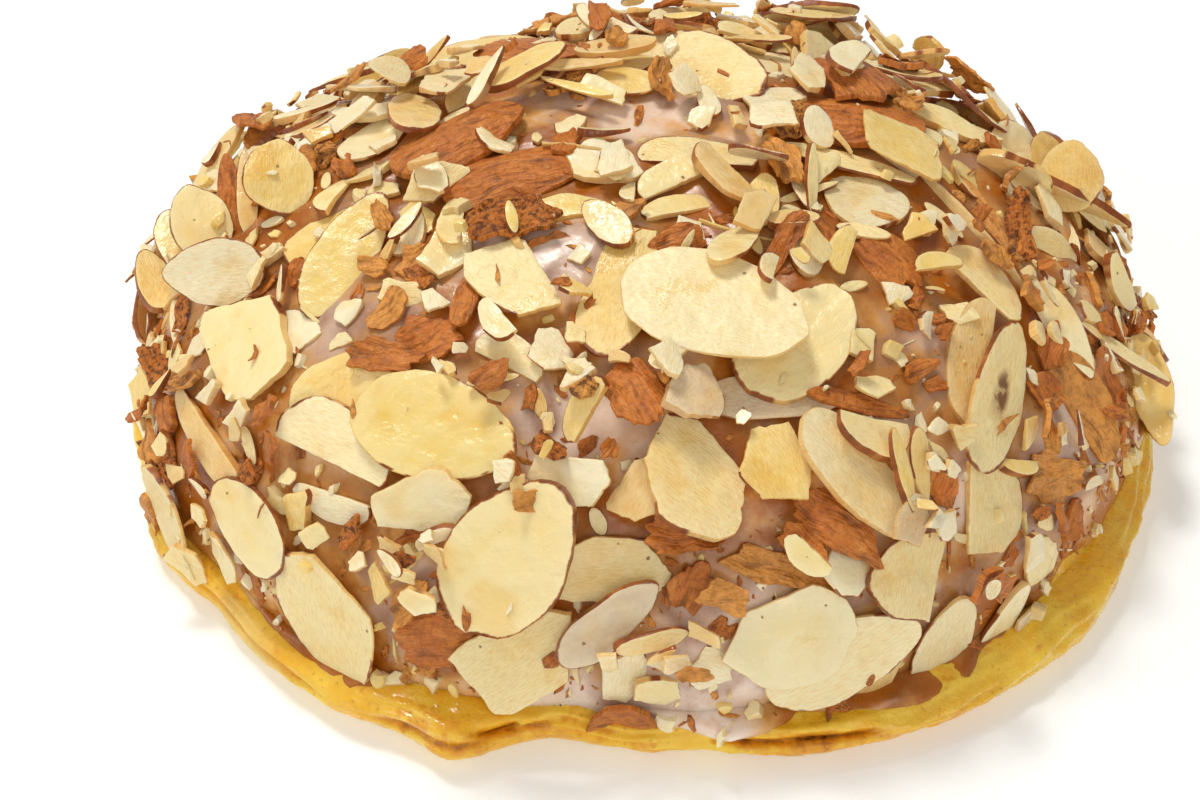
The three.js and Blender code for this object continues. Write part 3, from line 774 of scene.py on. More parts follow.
@dataclass(frozen=True)
class Seam:
    """A crease between two layers of the rim, from one bearing to another."""

    start: float
    end: float
    drop_start: float
    drop_end: float
    depth: float
    width: float
    lip: float = 0.0

    def relief(
        self, bearing: Array, arc: Array, arc_of: Callable[[Array], Array]
    ) -> tuple[Array, Array]:
        """Gives the crease's relief in millimetres, and the painted shade in it.

        Args:
            bearing: degrees round from +X.
            arc: millimetres down the side, from the dome's foot.
            arc_of: the function that turns a drop into such an arc.

        Returns:
            The relief, and the painted shade in the crease, from 0 to 1.
        """
        share = (bearing - self.start) / (self.end - self.start)
        inside = smoothstep(share, 0, 0.18) * (1 - smoothstep(share, 0.82, 1))
        bow = np.sin(math.pi * np.clip(share, 0, 1)) * 0.5
        line = arc_of(self.drop_start + (self.drop_end - self.drop_start) * np.clip(share, 0, 1))
        across = (arc - line - bow) / self.width
        groove = np.exp(-(across**2)) * inside
        lip = np.exp(-(((across + 1.9) / 1.5) ** 2)) * inside
        return self.lip * lip - self.depth * groove, groove


@dataclass(frozen=True)
class Crust:
    """The baked body: its dome, its layered rim and its underside."""

    form: PastryForm
    segments: int = 480
    rings: int = 96
    dome_rings: int = 34
    rim_rings: int = 44
    dome_arc: float = 45.0
    rim_arc: float = 9.5
    layer: float = 1.5
    layer_relief: float = 0.34
    broad_relief: float = 0.4
    fine_relief: float = 0.2
    tiny_relief: float = 0.05
    flat_share: float = 0.35
    seams: tuple[Seam, ...] = (
        Seam(276, 297, 1.38, 1.44, 1.3, 0.5, 0.5),
        Seam(251.6, 256.4, 1.32, 1.33, 2.0, 0.55, 0.3),
        Seam(240, 262, 1.5, 1.36, 0.7, 0.6, 0.5),
        Seam(296, 318, 1.62, 1.5, 0.5, 0.5, 0.3),
        Seam(203, 236, 1.36, 1.5, 0.6, 0.6, 0.45),
        Seam(326, 352, 1.55, 1.62, 0.5, 0.6, 0.35),
        Seam(150, 186, 1.35, 1.5, 0.7, 0.6, 0.4),
        Seam(92, 138, 1.45, 1.32, 0.8, 0.6, 0.4),
        Seam(18, 66, 1.34, 1.5, 0.8, 0.6, 0.4),
        Seam(60, 96, 1.55, 1.6, 0.5, 0.5, 0.3),
    )

    def arc_of(self, drop: Array) -> Array:
        """Turns a drop into millimetres down the side from the dome's foot."""
        return np.where(drop < 1, (drop - 1) * self.dome_arc, (drop - 1) * self.rim_arc)

    def build(self) -> Piece:
        """Shapes the crust and works out how each place is baked, with painted shade and painted light.
        """
        sheet, bearing, down = globe(self.segments, self.rings)
        ring = down * self.rings
        on_dome = ring / self.dome_rings
        on_rim = 1 + (ring - self.dome_rings) / self.rim_rings
        shaped_rings = self.dome_rings + self.rim_rings
        drop = np.where(ring <= self.dome_rings, on_dome, np.minimum(on_rim, 2))
        under = np.clip((ring - shaped_rings) / (self.rings - shaped_rings), 0, 1)
        points = self.form.skin(bearing, drop)
        out = self.form.outward(bearing, np.clip(drop, 0.02, 1.98))
        arc = self.arc_of(drop)
        broad, fine = noise_at(points, 8, 1), noise_at(points, 2.1, 2, 3)
        side = smoothstep(drop, 1.1, 1.3) * (1 - smoothstep(drop, 1.75, 2))
        rimward = smoothstep(drop, 0.7, 1.0)
        layers = self.layers(points, arc, side)
        relief = self.broad_relief * broad * rimward + self.fine_relief * fine * (0.4 + 0.6 * rimward)
        relief = relief + self.tiny_relief * noise_at(points, 0.8, 3, 2) + layers
        relief, dark = self.creased(relief, bearing, arc + 0.5 * broad)
        keep = 1 - smoothstep(under, 0, 0.15)
        points = points + out * (relief * keep)[:, None]
        sheet.points = self.underside(points, bearing, under)
        # Darkness of the crust: browning from the noise, darker where the layer relief sinks, and
        # painted shade in the creases.
        toast_and_shade = 0.14 + 0.5 * broad + 0.35 * fine - 0.7 * layers + 0.7 * dark
        # Painted light: the right-hand rim is made paler, as if lit.
        toast_and_shade = toast_and_shade - 0.2 * bump(bearing, 325, 25)
        # Painted shade: the underside of the front rim is darkened, as if in shade.
        toast_and_shade = np.clip(toast_and_shade + 0.35 * smoothstep(drop, 1.3, 1.7) * bump(bearing, 290, 25), 0, 1)
        low = smoothstep(drop + 0.12 * fine, 1.45, 1.9)
        pale = np.clip(low * (0.4 + 0.8 * broad) + 0.7 * bump(bearing, 221, 8) * side + under, 0, 1)
        wet = np.maximum(bump(bearing, 322, 26), 0.7 * bump(bearing, 243, 9)) * (1 - low)
        sheet.carried["bake"] = np.stack([toast_and_shade, pale, wet], -1)
        return sheet.write("bear_claw_crust", sharp=80)

    def layers(self, points: Array, arc: Array, side: Array) -> Array:
        """Gives the relief of the thin layers of dough that show on the rim.

        Args:
            points: the points, in millimetres.
            arc: how far down the side they are, in millimetres.
            side: 1 on the rim's side and 0 away from it.

        Returns:
            The relief, in millimetres.
        """
        saw = (arc + 1.3 * noise_at(points, 11, 4)) / self.layer % 1
        steps = smoothstep(saw, 0, 0.8) * (1 - smoothstep(saw, 0.86, 1)) - 0.5
        return steps * self.layer_relief * side * smoothstep(noise_at(points, 14, 5), -0.35, 0.3)

    def creased(self, relief: Array, bearing: Array, arc: Array) -> tuple[Array, Array]:
        """Presses the seams into the relief, and gives the painted shade in them.

        Args:
            relief: the relief so far, in millimetres.
            bearing: degrees round from +X.
            arc: how far down the side each point is, in millimetres.

        Returns:
            The new relief, and the painted shade from 0 to 1.
        """
        dark = np.zeros_like(relief)
        for seam in self.seams:
            height, groove = seam.relief(bearing, arc, self.arc_of)
            relief = relief + height
            # Painted shade: each crease's groove darkens the crust's colour.
            dark = np.maximum(dark, groove * min(seam.depth, 1))
        return relief, dark

    def underside(self, points: Array, bearing: Array, under: Array) -> Array:
        """Draws the last rings in under the pastry, flat on the table."""
        phi = np.radians(bearing)
        radius = np.hypot(points[:, 0], points[:, 1])
        base = self.form.plan_radius(bearing) * self.form.base_share
        share = np.where(under < self.flat_share, 1 - under / self.flat_share, 0)
        flat = base * (1 - under) / (1 - self.flat_share)
        inward = np.where(under < self.flat_share, base + (radius - base) * share, flat)
        height = points[:, 2] * share**1.5
        drawn = np.stack([inward * np.cos(phi), inward * np.sin(phi), height], -1)
        drawn = np.where((under > 0)[:, None], drawn, points)
        drawn[:, 2] = np.maximum(drawn[:, 2], 0)
        return drawn


# ---------------------------------------------------------------- the icing


@dataclass(frozen=True)
class Icing:
    """The thin sugar icing: a closed skin over the dome that ends in a wavy edge on the rim."""

    form: PastryForm
    segments: int = 480
    rings: int = 176
    outer_share: float = 0.9
    base_depth: float = 0.25
    root: float = 0.6
    rim_arc: float = 9.5
    dome_arc: float = 30.0
    edge_bead: float = 0.5
    edge_round: float = 0.8
    edge_tuck: float = 0.15
    climb_height: float = 0.55
    climb_reach: float = 1.15
    root_climb: float = 0.9
    root_reach: float = 1.7
    top_climb: float = 1.35
    ripple: float = 0.05
    edge: tuple[tuple[float, float], ...] = (
        (0, 1.22), (20, 1.12), (42, 1.3), (60, 1.1), (80, 1.05), (98, 1.3), (118, 1.02), (138, 1.28),
        (160, 1.06), (180, 1.24), (200, 1.12), (211, 1.06), (217, 1.12), (230, 1.2), (237, 1.3),
        (242, 1.1), (246, 1.02), (251, 0.99), (258, 1.08), (267, 1.12), (271, 1.18), (276, 1.33),
        (279.5, 1.44), (284, 1.34), (288, 1.15), (294, 1.24), (301, 1.32), (306, 1.3), (310, 1.14),
        (314, 1.1), (319, 1.02), (325, 0.97), (331, 1.0), (337, 1.02), (343, 1.08), (350, 1.22),
        (360, 1.2),
    )
    pools: tuple[tuple[float, float, float, float], ...] = (
        (241, 0.24, 7, 0.4), (251, 0.51, 6, 0.45), (215, 0.44, 6, 0.4), (254, 0.22, 6, 0.4),
        (281, 0.84, 9, 0.5), (276, 1.12, 8, 0.55), (262, 0.97, 6, 0.4), (324, 0.81, 10, 0.45),
        (335, 0.72, 10, 0.4), (309, 0.7, 8, 0.4), (313, 0.5, 7, 0.35), (40, 0.05, 8, 0.35),
        (150, 0.12, 8, 0.3), (240, 0.79, 7, 0.4), (224, 0.58, 6, 0.35), (297, 0.82, 8, 0.3),
        (263, 0.47, 6, 0.4), (348, 1.1, 9, 0.35), (20, 0.7, 12, 0.4), (60, 0.8, 12, 0.4),
        (100, 0.7, 12, 0.4), (135, 0.85, 10, 0.4), (170, 0.9, 10, 0.3),
    )

    def edge_drop(self, bearing: Array) -> Array:
        """Gives how far down the side the icing has run."""
        at, drop = np.array(self.edge).T
        ring = np.stack([np.cos(np.radians(bearing)), np.sin(np.radians(bearing)), 0 * bearing], -1)
        return np.interp(bearing, at, drop) + 0.045 * noise_at(ring * 60, 5, 7, 1)

    def depth(self, bearing: Array, drop: Array, points: Array) -> Array:
        """Gives how thick the icing lies, in millimetres, before the almonds sit in it."""
        depth = self.base_depth + 0.34 * noise_at(points, 9, 8) + 0.12 * noise_at(points, 4, 9)
        depth = depth - 0.28 * bump(bearing, 338, 22) * smoothstep(drop, 0.6, 1)
        for at, down, size, extra in self.pools:
            centre = self.form.skin(at, down)
            away = np.linalg.norm(points - centre, axis=-1) / size
            depth = depth + extra * np.exp(-(away**2))
        return np.clip(depth, 0.14, 1.15)

    def fillet(self, points: Array, depth: Array, laid: list[Almond]) -> tuple[Array, Array]:
        """Draws the icing up the sides of the pieces that sit in it.

        Args:
            points: the bare dome under each point of the icing.
            depth: how thick the icing lies there.
            laid: all the almond pieces.

        Returns:
            The new depth, and how near each point is to a piece's side, from 0 to 1.
        """
        climb = np.zeros(len(points))
        cap = np.full(len(points), 9.0)
        for almond in laid:
            near = np.flatnonzero(np.linalg.norm(points - almond.at, axis=-1) < almond.length / 2 + 3)
            if not len(near):
                continue
            u, v, h = almond.local(points[near]).T
            if almond.lean >= AlmondPile.standing_lean:
                away = self.root_distance(almond, u, v, h)
                rooted = self.root_climb * np.exp(-((away / self.root_reach) ** 2))
                climb[near] = np.maximum(climb[near], rooted)
                continue
            reach = np.hypot(u / (almond.length / 2), v / (almond.width / 2)) + 1e-6
            outside = (reach - 1) / reach * np.hypot(u, v)
            touch = 1 - smoothstep(-h, 0.5, 1.9)
            past = np.maximum(outside, 0) / self.climb_reach
            rise = touch * self.climb_height * np.exp(-(past**2))
            climb[near] = np.maximum(climb[near], rise * smoothstep(outside, -1.6, -0.2))
            below = np.maximum(0.95 - h, 0.05) + 6 * smoothstep(outside, -0.7, 0.3)
            cap[near] = np.minimum(cap[near], below)
        raised = depth + climb * np.clip(self.top_climb - depth, 0.2, 1)
        return np.minimum(raised, cap), np.clip(climb / 0.62, 0, 1)

    def root_distance(self, almond: Almond, u: Array, v: Array, h: Array) -> Array:
        """Gives how far points are from the edge, or the low end, that a standing piece is rooted on.

        Args:
            almond: the standing piece.
            u: the points along the piece.
            v: the points across it.
            h: the points above it.

        Returns:
            One distance for each point.
        """
        half, side = almond.length / 2, almond.width / 2
        if almond.rise:
            low_end = u + math.copysign(half, almond.rise)
            return np.hypot(np.maximum(np.abs(v) - side / 2, 0), np.hypot(low_end, h))
        return np.hypot(np.maximum(np.abs(u) - half, 0), np.hypot(v + side, h))

    def build(self, laid: list[Almond]) -> Piece:
        """Pours the icing round the almond pieces."""
        sheet, bearing, down = globe(self.segments, self.rings)
        edge = self.edge_drop(bearing)
        outer = down / self.outer_share
        inner = (down - self.outer_share) / (1 - self.outer_share)
        drop = np.where(down <= self.outer_share, outer, 1 - inner) * edge
        at_pole = (1 - smoothstep(drop, 0.02, 0.1))[:, None]
        plain = self.form.smooth_dome(bearing, np.minimum(drop, 1))
        bare = self.form.skin(bearing, drop) * (1 - at_pole) + plain * at_pole
        out = self.form.outward(bearing, np.maximum(drop, 0.02))
        out = unit(out + at_pole * (0, 0, 6))
        layer = self.depth(bearing, drop, bare) + 0.15 * at_pole[:, 0]
        depth, climb = self.fillet(bare, layer, laid)
        from_edge = (edge - drop) * np.where(drop > 1, self.rim_arc, self.dome_arc)
        bead = 1 + self.edge_bead * np.exp(-(((from_edge - 0.9) / 0.8) ** 2))
        rounded = np.sqrt(1 - (1 - np.clip(from_edge / self.edge_round, 0, 1)) ** 2)
        depth, climb = sheet.smoothed(depth, 3), sheet.smoothed(climb, 2)
        is_outer = down <= self.outer_share
        lift = np.where(is_outer, (depth * bead + self.edge_tuck) * rounded - self.edge_tuck, -self.root)
        lift = lift + np.where(is_outer, self.ripple * noise_at(bare, 2.6, 10, 1) * rounded, 0)
        sheet.points = bare + out * lift[:, None]
        # climb also drives the painted shade and stain next to the almonds in the icing's colour.
        sheet.carried["pour"] = np.stack([layer, climb, 0 * layer], -1)
        return sheet.write("bear_claw_icing", sharp=80)


# ---------------------------------------------------------------- the almond pieces


@dataclass(frozen=True)
class SliceBlank:
    """A flat round blank, one across and one thick, with rings of points on both faces."""

    corners: int = 40
    insets: tuple[float, ...] = (0.045, 0.1, 0.2, 0.28)

    def build(self) -> Sheet:
        """Models the blank."""
        blank = start_disc(self.corners)
        for _ in range(2):
            bpy.ops.mesh.extrude_region_move(TRANSFORM_OT_translate={"value": (0, 0, 0.5)})
        for level in (0, 1):
            select_faces(blank.data, lambda face: abs(face.calc_center_median().z - level) < 0.01)
            for inset in self.insets:
                bpy.ops.mesh.inset(thickness=inset)
            bpy.ops.mesh.poke()
        return Sheet.shaped(blank)


@dataclass
class AlmondCutter:
    """Fits blanks to the almond pieces: outline, broken sides, thickness and curl."""

    blank: Sheet
    egg_taper: float = 0.15
    slice_top: float = 1.5
    chamfer: float = 0.07
    husk_width: float = 7.0
    whole_dome: float = 1.9
    half_dome: float = 1.3
    plain_edges: float = 0.15
    tone_spread: float = 0.12
    seed: int = 4000
    with_germ: tuple[int, ...] = (69,)
    skinned_round: tuple[int, ...] = (96, 88, 61)

    def limits(self, almond: Almond, turn: Array) -> tuple[Array, Array]:
        """Gives a piece's plain egg outline, and the share of it that each break leaves.

        Args:
            almond: the piece.
            turn: the angles round it, in radians.

        Returns:
            The egg's points, and one row of shares for the egg itself and for each break.
        """
        half = np.array([almond.length, almond.width]) / 2
        taper = 1 - self.egg_taper * np.cos(turn)
        egg = np.stack([np.cos(turn), np.sin(turn) * taper], -1) * half
        rows = [np.ones(len(turn))]
        for direction, reach_share in almond.breaks:
            ray = math.radians(direction)
            facing = np.array([math.cos(ray), math.sin(ray)])
            toward = np.maximum(egg @ facing, 1e-6)
            rows.append(reach_share * np.linalg.norm(half * facing) / toward)
        return egg, np.stack(rows)

    def spokes(self, almond: Almond, turn: Array) -> Array:
        """Turns the blank's nearest spoke to each corner of a broken piece, so that it stays crisp."""
        fine = np.linspace(-math.pi, math.pi, 721)[:-1]
        which = self.limits(almond, fine)[1].argmin(0)
        rays, index = np.unique(np.round(turn, 3), return_inverse=True)
        for corner in fine[which != np.roll(which, 1)]:
            away = np.abs((rays - corner + math.pi) % (2 * math.pi) - math.pi)
            rays[away.argmin()] = corner
        return rays[index]

    def outline(self, almond: Almond, turn: Array) -> tuple[Array, Array]:
        """Gives a piece's outline.

        Args:
            almond: the piece.
            turn: the angles round it, in radians.

        Returns:
            The outline's points, and 1 where it is the almond's own edge or 0 where it is broken.
        """
        egg, rows = self.limits(almond, turn)
        share = rows.min(0)
        natural = (share > 0.999) | (almond.index in self.skinned_round)
        ring = np.stack([np.cos(turn), np.sin(turn), 0 * turn + almond.index * 3.7], -1)
        size = math.sqrt(almond.length * almond.width)
        if almond.kind is Kind.SKIN:
            fibres = egg * (0.0, 1.0) + (almond.index * 2.7, 0.0)
            ends = smoothstep(np.abs(np.cos(turn)), 0.35, 0.8) * np.sign(np.cos(turn) + 1e-9)
            at = np.column_stack([fibres, ends * 3])
            rough = noise_at(at, 1.5, 28, 2) * np.abs(ends) * min(0.12 * almond.length, 1.3)
            rough = rough + noise_at(ring * size, 3.5, 20, 3) * 0.6
        else:
            smooth = noise_at(ring * size, 6, 22, 1) * 0.42 + noise_at(ring * size, 1.6, 23, 1) * 0.1
            jag = noise_at(ring * size, 2.4, 20, 2) * 0.28 + noise_at(ring * size, 0.9, 21, 1) * 0.14
            rough = np.where(natural > 0, smooth, jag)
        reach = np.linalg.norm(egg, axis=-1)
        return egg * (share * (1 + rough / np.maximum(reach, 1.5)))[:, None], natural.astype(float)

    def cut(self, almond: Almond) -> Sheet:
        """Fits one copy of the blank to a piece, laid in its place."""
        draw = seeded_random(self.seed + almond.index)
        x, y, z = self.blank.points.T
        ring, turn = np.hypot(x, y), self.spokes(almond, np.arctan2(y, x))
        edge, natural = self.outline(almond, turn)
        rim = (ring > 0.995) & (np.abs(z - 0.5) > 0.1)
        reach = np.maximum(np.linalg.norm(edge, axis=-1), 0.4)
        flat = edge * (ring * np.where(rim, 1 - self.chamfer / reach, 1))[:, None]
        place = np.column_stack([flat, np.full(len(flat), almond.index * 4.0)])
        u = flat[:, 0] / (almond.length / 2)
        v = flat[:, 1] / (almond.width / 2)
        if almond.kind is Kind.SKIN or self.is_husk(almond):
            height = self.skin_height(almond, place, ring, z, draw)
        else:
            height = self.slice_height(almond, place, ring, z, draw)
            height = height + (draw() - 0.35) * 0.5 * (u**2 - 0.4) + (draw() - 0.5) * 0.6 * u * v
        if almond.lean >= AlmondPile.standing_lean:
            height = height - self.slice_top / 2
        else:
            stacked = min(max(almond.raised, 0) / 1.2, 1)
            tip = np.array([0.2 * (draw() - 0.5), 0.34 * (draw() - 0.5)]) * (1 - 0.6 * stacked)
            lift = 0.5 * np.abs(tip * (almond.length, almond.width)).sum() / 2
            height = height + flat @ tip + lift - 0.45 * stacked
        points = almond.placed(np.column_stack([flat, height]))
        tone = np.array(almond.tone.value)
        tone[:3] *= 1 + (draw() - 0.5) * self.tone_spread
        strength = 0.3 + 0.7 * draw() if draw() < 1 - self.plain_edges else 0.0
        is_upright_sliver = almond.kind is Kind.SLIVER and almond.lean >= AlmondPile.standing_lean
        if is_upright_sliver or almond.index in self.skinned_round:
            strength = 1.0
        lot = 1.0 if almond.index in self.with_germ or self.is_husk(almond) else 0.95 * draw()
        carried = {
            "tone": np.tile(tone, (len(points), 1)),
            "cut": place,
            "rim": np.column_stack([ring, natural * strength, np.full(len(points), lot)]),
        }
        return Sheet(points, self.blank.faces, carried)

    def slice_height(self, almond: Almond, place: Array, ring: Array, level: Array, draw: Draw) -> Array:
        """Gives the two cut faces of a slice, wedged and a little uneven.

        Args:
            almond: the piece.
            place: the points on the slice, in millimetres.
            ring: 0 in the middle and 1 at the edge.
            level: 0 on the lower face and 1 on the upper.
            draw: the generator for its thickness.

        Returns:
            The height of each point.
        """
        thick = min(0.45 + 0.4 * draw(), 0.15 + 0.1 * almond.length)
        top = self.slice_top - 0.4 * (1.2 - thick)
        way = 2 * math.pi * draw()
        along = place[:, 0] * math.cos(way) / almond.length
        along = 2 * (along + place[:, 1] * math.sin(way) / almond.width)
        height = top - thick * (1 + 0.5 * along) * (1 - level)
        upper = level > 0.9
        height = height + noise_at(place, 5.0, 24) * 0.24
        furrows = noise_at(place * (0.18, 1, 1), 1.3, 29, 1) * 0.13
        fine = noise_at(place, 1.7, 25) * 0.05 - 0.07 * ring**10 + furrows * (draw() < 0.5)
        return height + np.where(upper, fine, 0)

    def is_husk(self, almond: Almond) -> bool:
        """Tells whether a piece is half an almond in its skin, domed side up."""
        return almond.tone is Tone.BROWN and almond.width >= self.husk_width

    def skin_height(self, almond: Almond, place: Array, ring: Array, level: Array, draw: Draw) -> Array:
        """Gives a skin piece's faces: a ribbed husk where it is wide, else a curled and crumpled flake.

        Args:
            almond: the piece.
            place: the points on the piece, in millimetres.
            ring: 0 in the middle and 1 at the edge.
            level: 0 on the lower face and 1 on the upper.
            draw: the generator for its thickness.

        Returns:
            The height of each point.
        """
        u = place[:, 0] / (almond.length / 2)
        v = place[:, 1] / (almond.width / 2)
        ribs = 1 - np.abs(noise_at(place * (0.14, 1, 1), 1.5, 26, 2)) * 2
        thick = 0.3 + 0.5 * draw()
        height = self.slice_top - 0.3 - thick * (1 - level)
        if self.is_husk(almond):
            dome = self.whole_dome if almond.kind is Kind.WHOLE else self.half_dome
            return height + dome * (1 - v**2) * (1 - 0.7 * u**2) - 0.5 + 0.2 * ribs
        roll = (draw() - 0.35) * 0.28 * almond.width * v**2
        lift = (draw() - 0.3) * 0.16 * almond.length * (u**2 - 0.3)
        crumple = noise_at(place, 2.6, 27, 3) * 0.6
        return height + roll + lift + crumple + 0.15 * ribs


# ---------------------------------------------------------------- crumbs and flecks


@dataclass(frozen=True)
class CrumbSort:
    """One sort of small broken thing that lies on top: how many, how large and of what colours."""

    name: str
    slot: str
    count: int
    smallest: float
    largest: float
    flatness: float
    stretch: float
    seed: int
    tones: tuple[Tone, ...]
    on_almonds: float = 0.2
    curl: float = 0.0
    bend: float = 0.0


class Lander:
    """Finds where a small thing comes to rest on all that lies below it."""

    def __init__(self, icing: Sheet, almonds: list[Sheet], form: PastryForm) -> None:
        """Takes the surfaces to land on."""
        merged = Sheet.joined([Sheet(sheet.points, sheet.faces) for sheet in [icing, *almonds]])
        self.form = form
        self.icing_faces = len(icing.faces)
        self.tree = BVHTree.FromPolygons(merged.points.tolist(), merged.faces)

    def land(self, bearing: float, drop: float) -> tuple[Array, Array, bool] | None:
        """Drops a thing onto the pastry.

        Args:
            bearing: degrees round from +X.
            drop: the share of the way down the side.

        Returns:
            The place, the surface's direction there and whether that is icing, or None where it
            would slide off.
        """
        point = self.form.skin(bearing, drop)
        out = unit(self.form.outward(bearing, drop) + (0, 0, 0.35))
        hit, normal, face, _ = self.tree.ray_cast(Vector(point + out * 14), Vector(-out))
        if hit is None or normal.z < 0.05:
            return None
        return np.array(hit), np.array(normal), face < self.icing_faces


@dataclass
class Crumbs:
    """Small broken bits, strewn over the pastry and resting on what carries them."""

    sort: CrumbSort
    lander: Lander
    pile: AlmondPile
    corners: int = 9
    lowest: float = 1.02
    front_bearing: float = 268.0
    front_half_width: float = 62.0
    front_rarity: float = 0.97

    def blank(self) -> Sheet:
        """Models one plain bit: a low prism with a raised middle."""
        blank = start_disc(self.corners)
        bpy.ops.mesh.extrude_region_move(TRANSFORM_OT_translate={"value": (0, 0, 1)})
        bpy.ops.mesh.poke(offset=0.15)
        select_faces(blank.data, lambda face: face.calc_center_median().z < 0.01)
        bpy.ops.mesh.poke()
        return Sheet.shaped(blank)

    def build(self) -> Piece:
        """Strews the bits and joins them into one piece."""
        blank = self.blank()
        draw = seeded_random(self.sort.seed)
        bits: list[Sheet] = []
        step = 0
        while len(bits) < self.sort.count:
            step += 1
            bearing = 360 * ((step * self.pile.scatter_round + 0.37 * draw()) % 1)
            drop = self.lowest * math.sqrt((step * self.pile.scatter_down + 0.2 * draw()) % 1)
            landed = self.lander.land(bearing, drop)
            kept = draw()
            front = bump(bearing, self.front_bearing, self.front_half_width)
            front *= smoothstep(drop, 0.2, 0.34)
            share = self.sort.on_almonds * (1 - self.front_rarity * front)
            if landed is None or (not landed[2] and kept > share):
                continue
            bits.append(self.bit(blank, landed, draw, len(bits)))
        return Sheet.joined(bits).write(self.sort.name, sharp=30)

    def bit(self, blank: Sheet, landed: tuple[Array, Array, bool], draw: Draw, index: int) -> Sheet:
        """Shapes one bit where it landed.

        Args:
            blank: the plain bit.
            landed: its place and the surface's direction.
            draw: the generator for its size and turn.
            index: which bit it is.

        Returns:
            The bit's own mesh data.
        """
        sort = self.sort
        place, up, _ = landed
        size = sort.smallest + (sort.largest - sort.smallest) * draw() ** 2.2
        length = size * (1 + (sort.stretch - 1) * draw())
        width = size * (0.45 + 0.55 * draw())
        height = max(sort.flatness * size * (0.5 + draw()), 0.12)
        reaches = np.array([0.5 + 0.65 * draw() for _ in range(self.corners)])
        x, y, level = blank.points.T
        corner = np.round(np.degrees(np.arctan2(y, x)) / (360 / self.corners)).astype(int) % self.corners
        spread = reaches[corner] * np.where(level > 0.5, 0.8 + 0.15 * draw(), 1)
        local = np.stack([x * spread * length / 2, y * spread * width / 2, (level - 0.3) * height], -1)
        bow = (local[:, 0] / length) ** 2 * 4
        local[:, 2] += sort.curl * (draw() - 0.3) * size * bow
        local[:, 1] += sort.bend * (draw() - 0.5) * length * bow
        shake = 0.7 if length < 2 * size else 0.15
        lean = unit(up + shake * (np.array([draw(), draw(), draw()]) - 0.5))
        heading = 2 * math.pi * draw()
        level_way = unit(np.cross(lean, (math.cos(heading), math.sin(heading), 0.21)))
        across = np.cross(lean, level_way)
        points = place + local @ np.stack([level_way, across, lean])
        tone = np.array(sort.tones[int(draw() * len(sort.tones))].value)
        tone[:3] *= 0.85 + 0.25 * draw()
        carried = {
            "tone": np.tile(tone, (len(points), 1)),
            "cut": local + (0, 0, index * 3.0),
            "rim": np.tile((0.4, 0.0, 0.3), (len(points), 1)),
        }
        return Sheet(points, blank.faces, carried)


# ---------------------------------------------------------------- shader trees


class ShaderTree:
    """Adds and links the nodes of one material or one node group."""

    def __init__(self, tree: bpy.types.NodeTree) -> None:
        """Starts on an existing tree."""
        self.tree = tree

    def add(self, kind: str, inputs: dict[str | int, Fed] | None = None, **settings: str) -> Node:
        """Adds one node.

        Args:
            kind: the node's type name, without its common prefix.
            inputs: a value or an output socket for each named or numbered input.
            settings: the node's own properties.

        Returns:
            The node.
        """
        node = self.tree.nodes.new("ShaderNode" + kind)
        for name, value in settings.items():
            setattr(node, name, value)
        for key, value in (inputs or {}).items():
            self.feed(node.inputs[key], value)
        return node

    def feed(self, socket: Socket, value: Fed) -> None:
        """Links an output to a socket, or sets the socket's own value."""
        if isinstance(value, Socket):
            self.tree.links.new(value, socket)
        else:
            socket.default_value = value

    def math(self, operation: str, first: Fed, second: Fed = 0.0) -> Socket:
        """Gives the result of one sum."""
        return self.add("Math", {0: first, 1: second}, operation=operation).outputs[0]

    def times(self, first: Fed, second: Fed) -> Socket:
        """Gives one value multiplied by another."""
        return self.math("MULTIPLY", first, second)

    def swing(self, value: Fed, width: Fed) -> Socket:
        """Turns a value of 0 to 1 into one that swings about zero, over a width."""
        return self.times(self.math("SUBTRACT", value, 0.5), width)

    def mix(self, factor: Fed, first: Fed, second: Fed) -> Socket:
        """Gives a colour between two others."""
        return self.add("Mix", {0: factor, 6: first, 7: second}, data_type="RGBA").outputs[2]

    def darken(self, factor: Fed, first: Fed, second: Fed) -> Socket:
        """Gives the first colour multiplied by the second, by a share."""
        inputs = {0: factor, 6: first, 7: second}
        return self.add("Mix", inputs, data_type="RGBA", blend_type="MULTIPLY").outputs[2]

    def span(self, value: Fed, low: Fed, high: Fed, start: float = 0.0, end: float = 1.0) -> Socket:
        """Eases a value from the range low to high into the range start to end."""
        inputs = {0: value, 1: low, 2: high, 3: start, 4: end}
        return self.add("MapRange", inputs, interpolation_type="SMOOTHSTEP").outputs[0]

    def carried(self, name: str) -> tuple[Socket, list[Socket]]:
        """Gives what the mesh carries under a name, as a vector and as its three values."""
        node = self.add("Attribute", attribute_name=name)
        parts = self.add("SeparateXYZ", {0: node.outputs["Vector"]})
        return node.outputs["Vector"], list(parts.outputs)

    def tone(self) -> Socket:
        """Gives the piece's own colour."""
        return self.add("Attribute", attribute_name="tone").outputs["Color"]

    def place(self) -> Socket:
        """Gives the place in the object's own space, in millimetres."""
        where = self.add("TexCoord").outputs["Object"]
        return self.add("VectorMath", {0: where, 3: 1 / MM}, operation="SCALE").outputs[0]


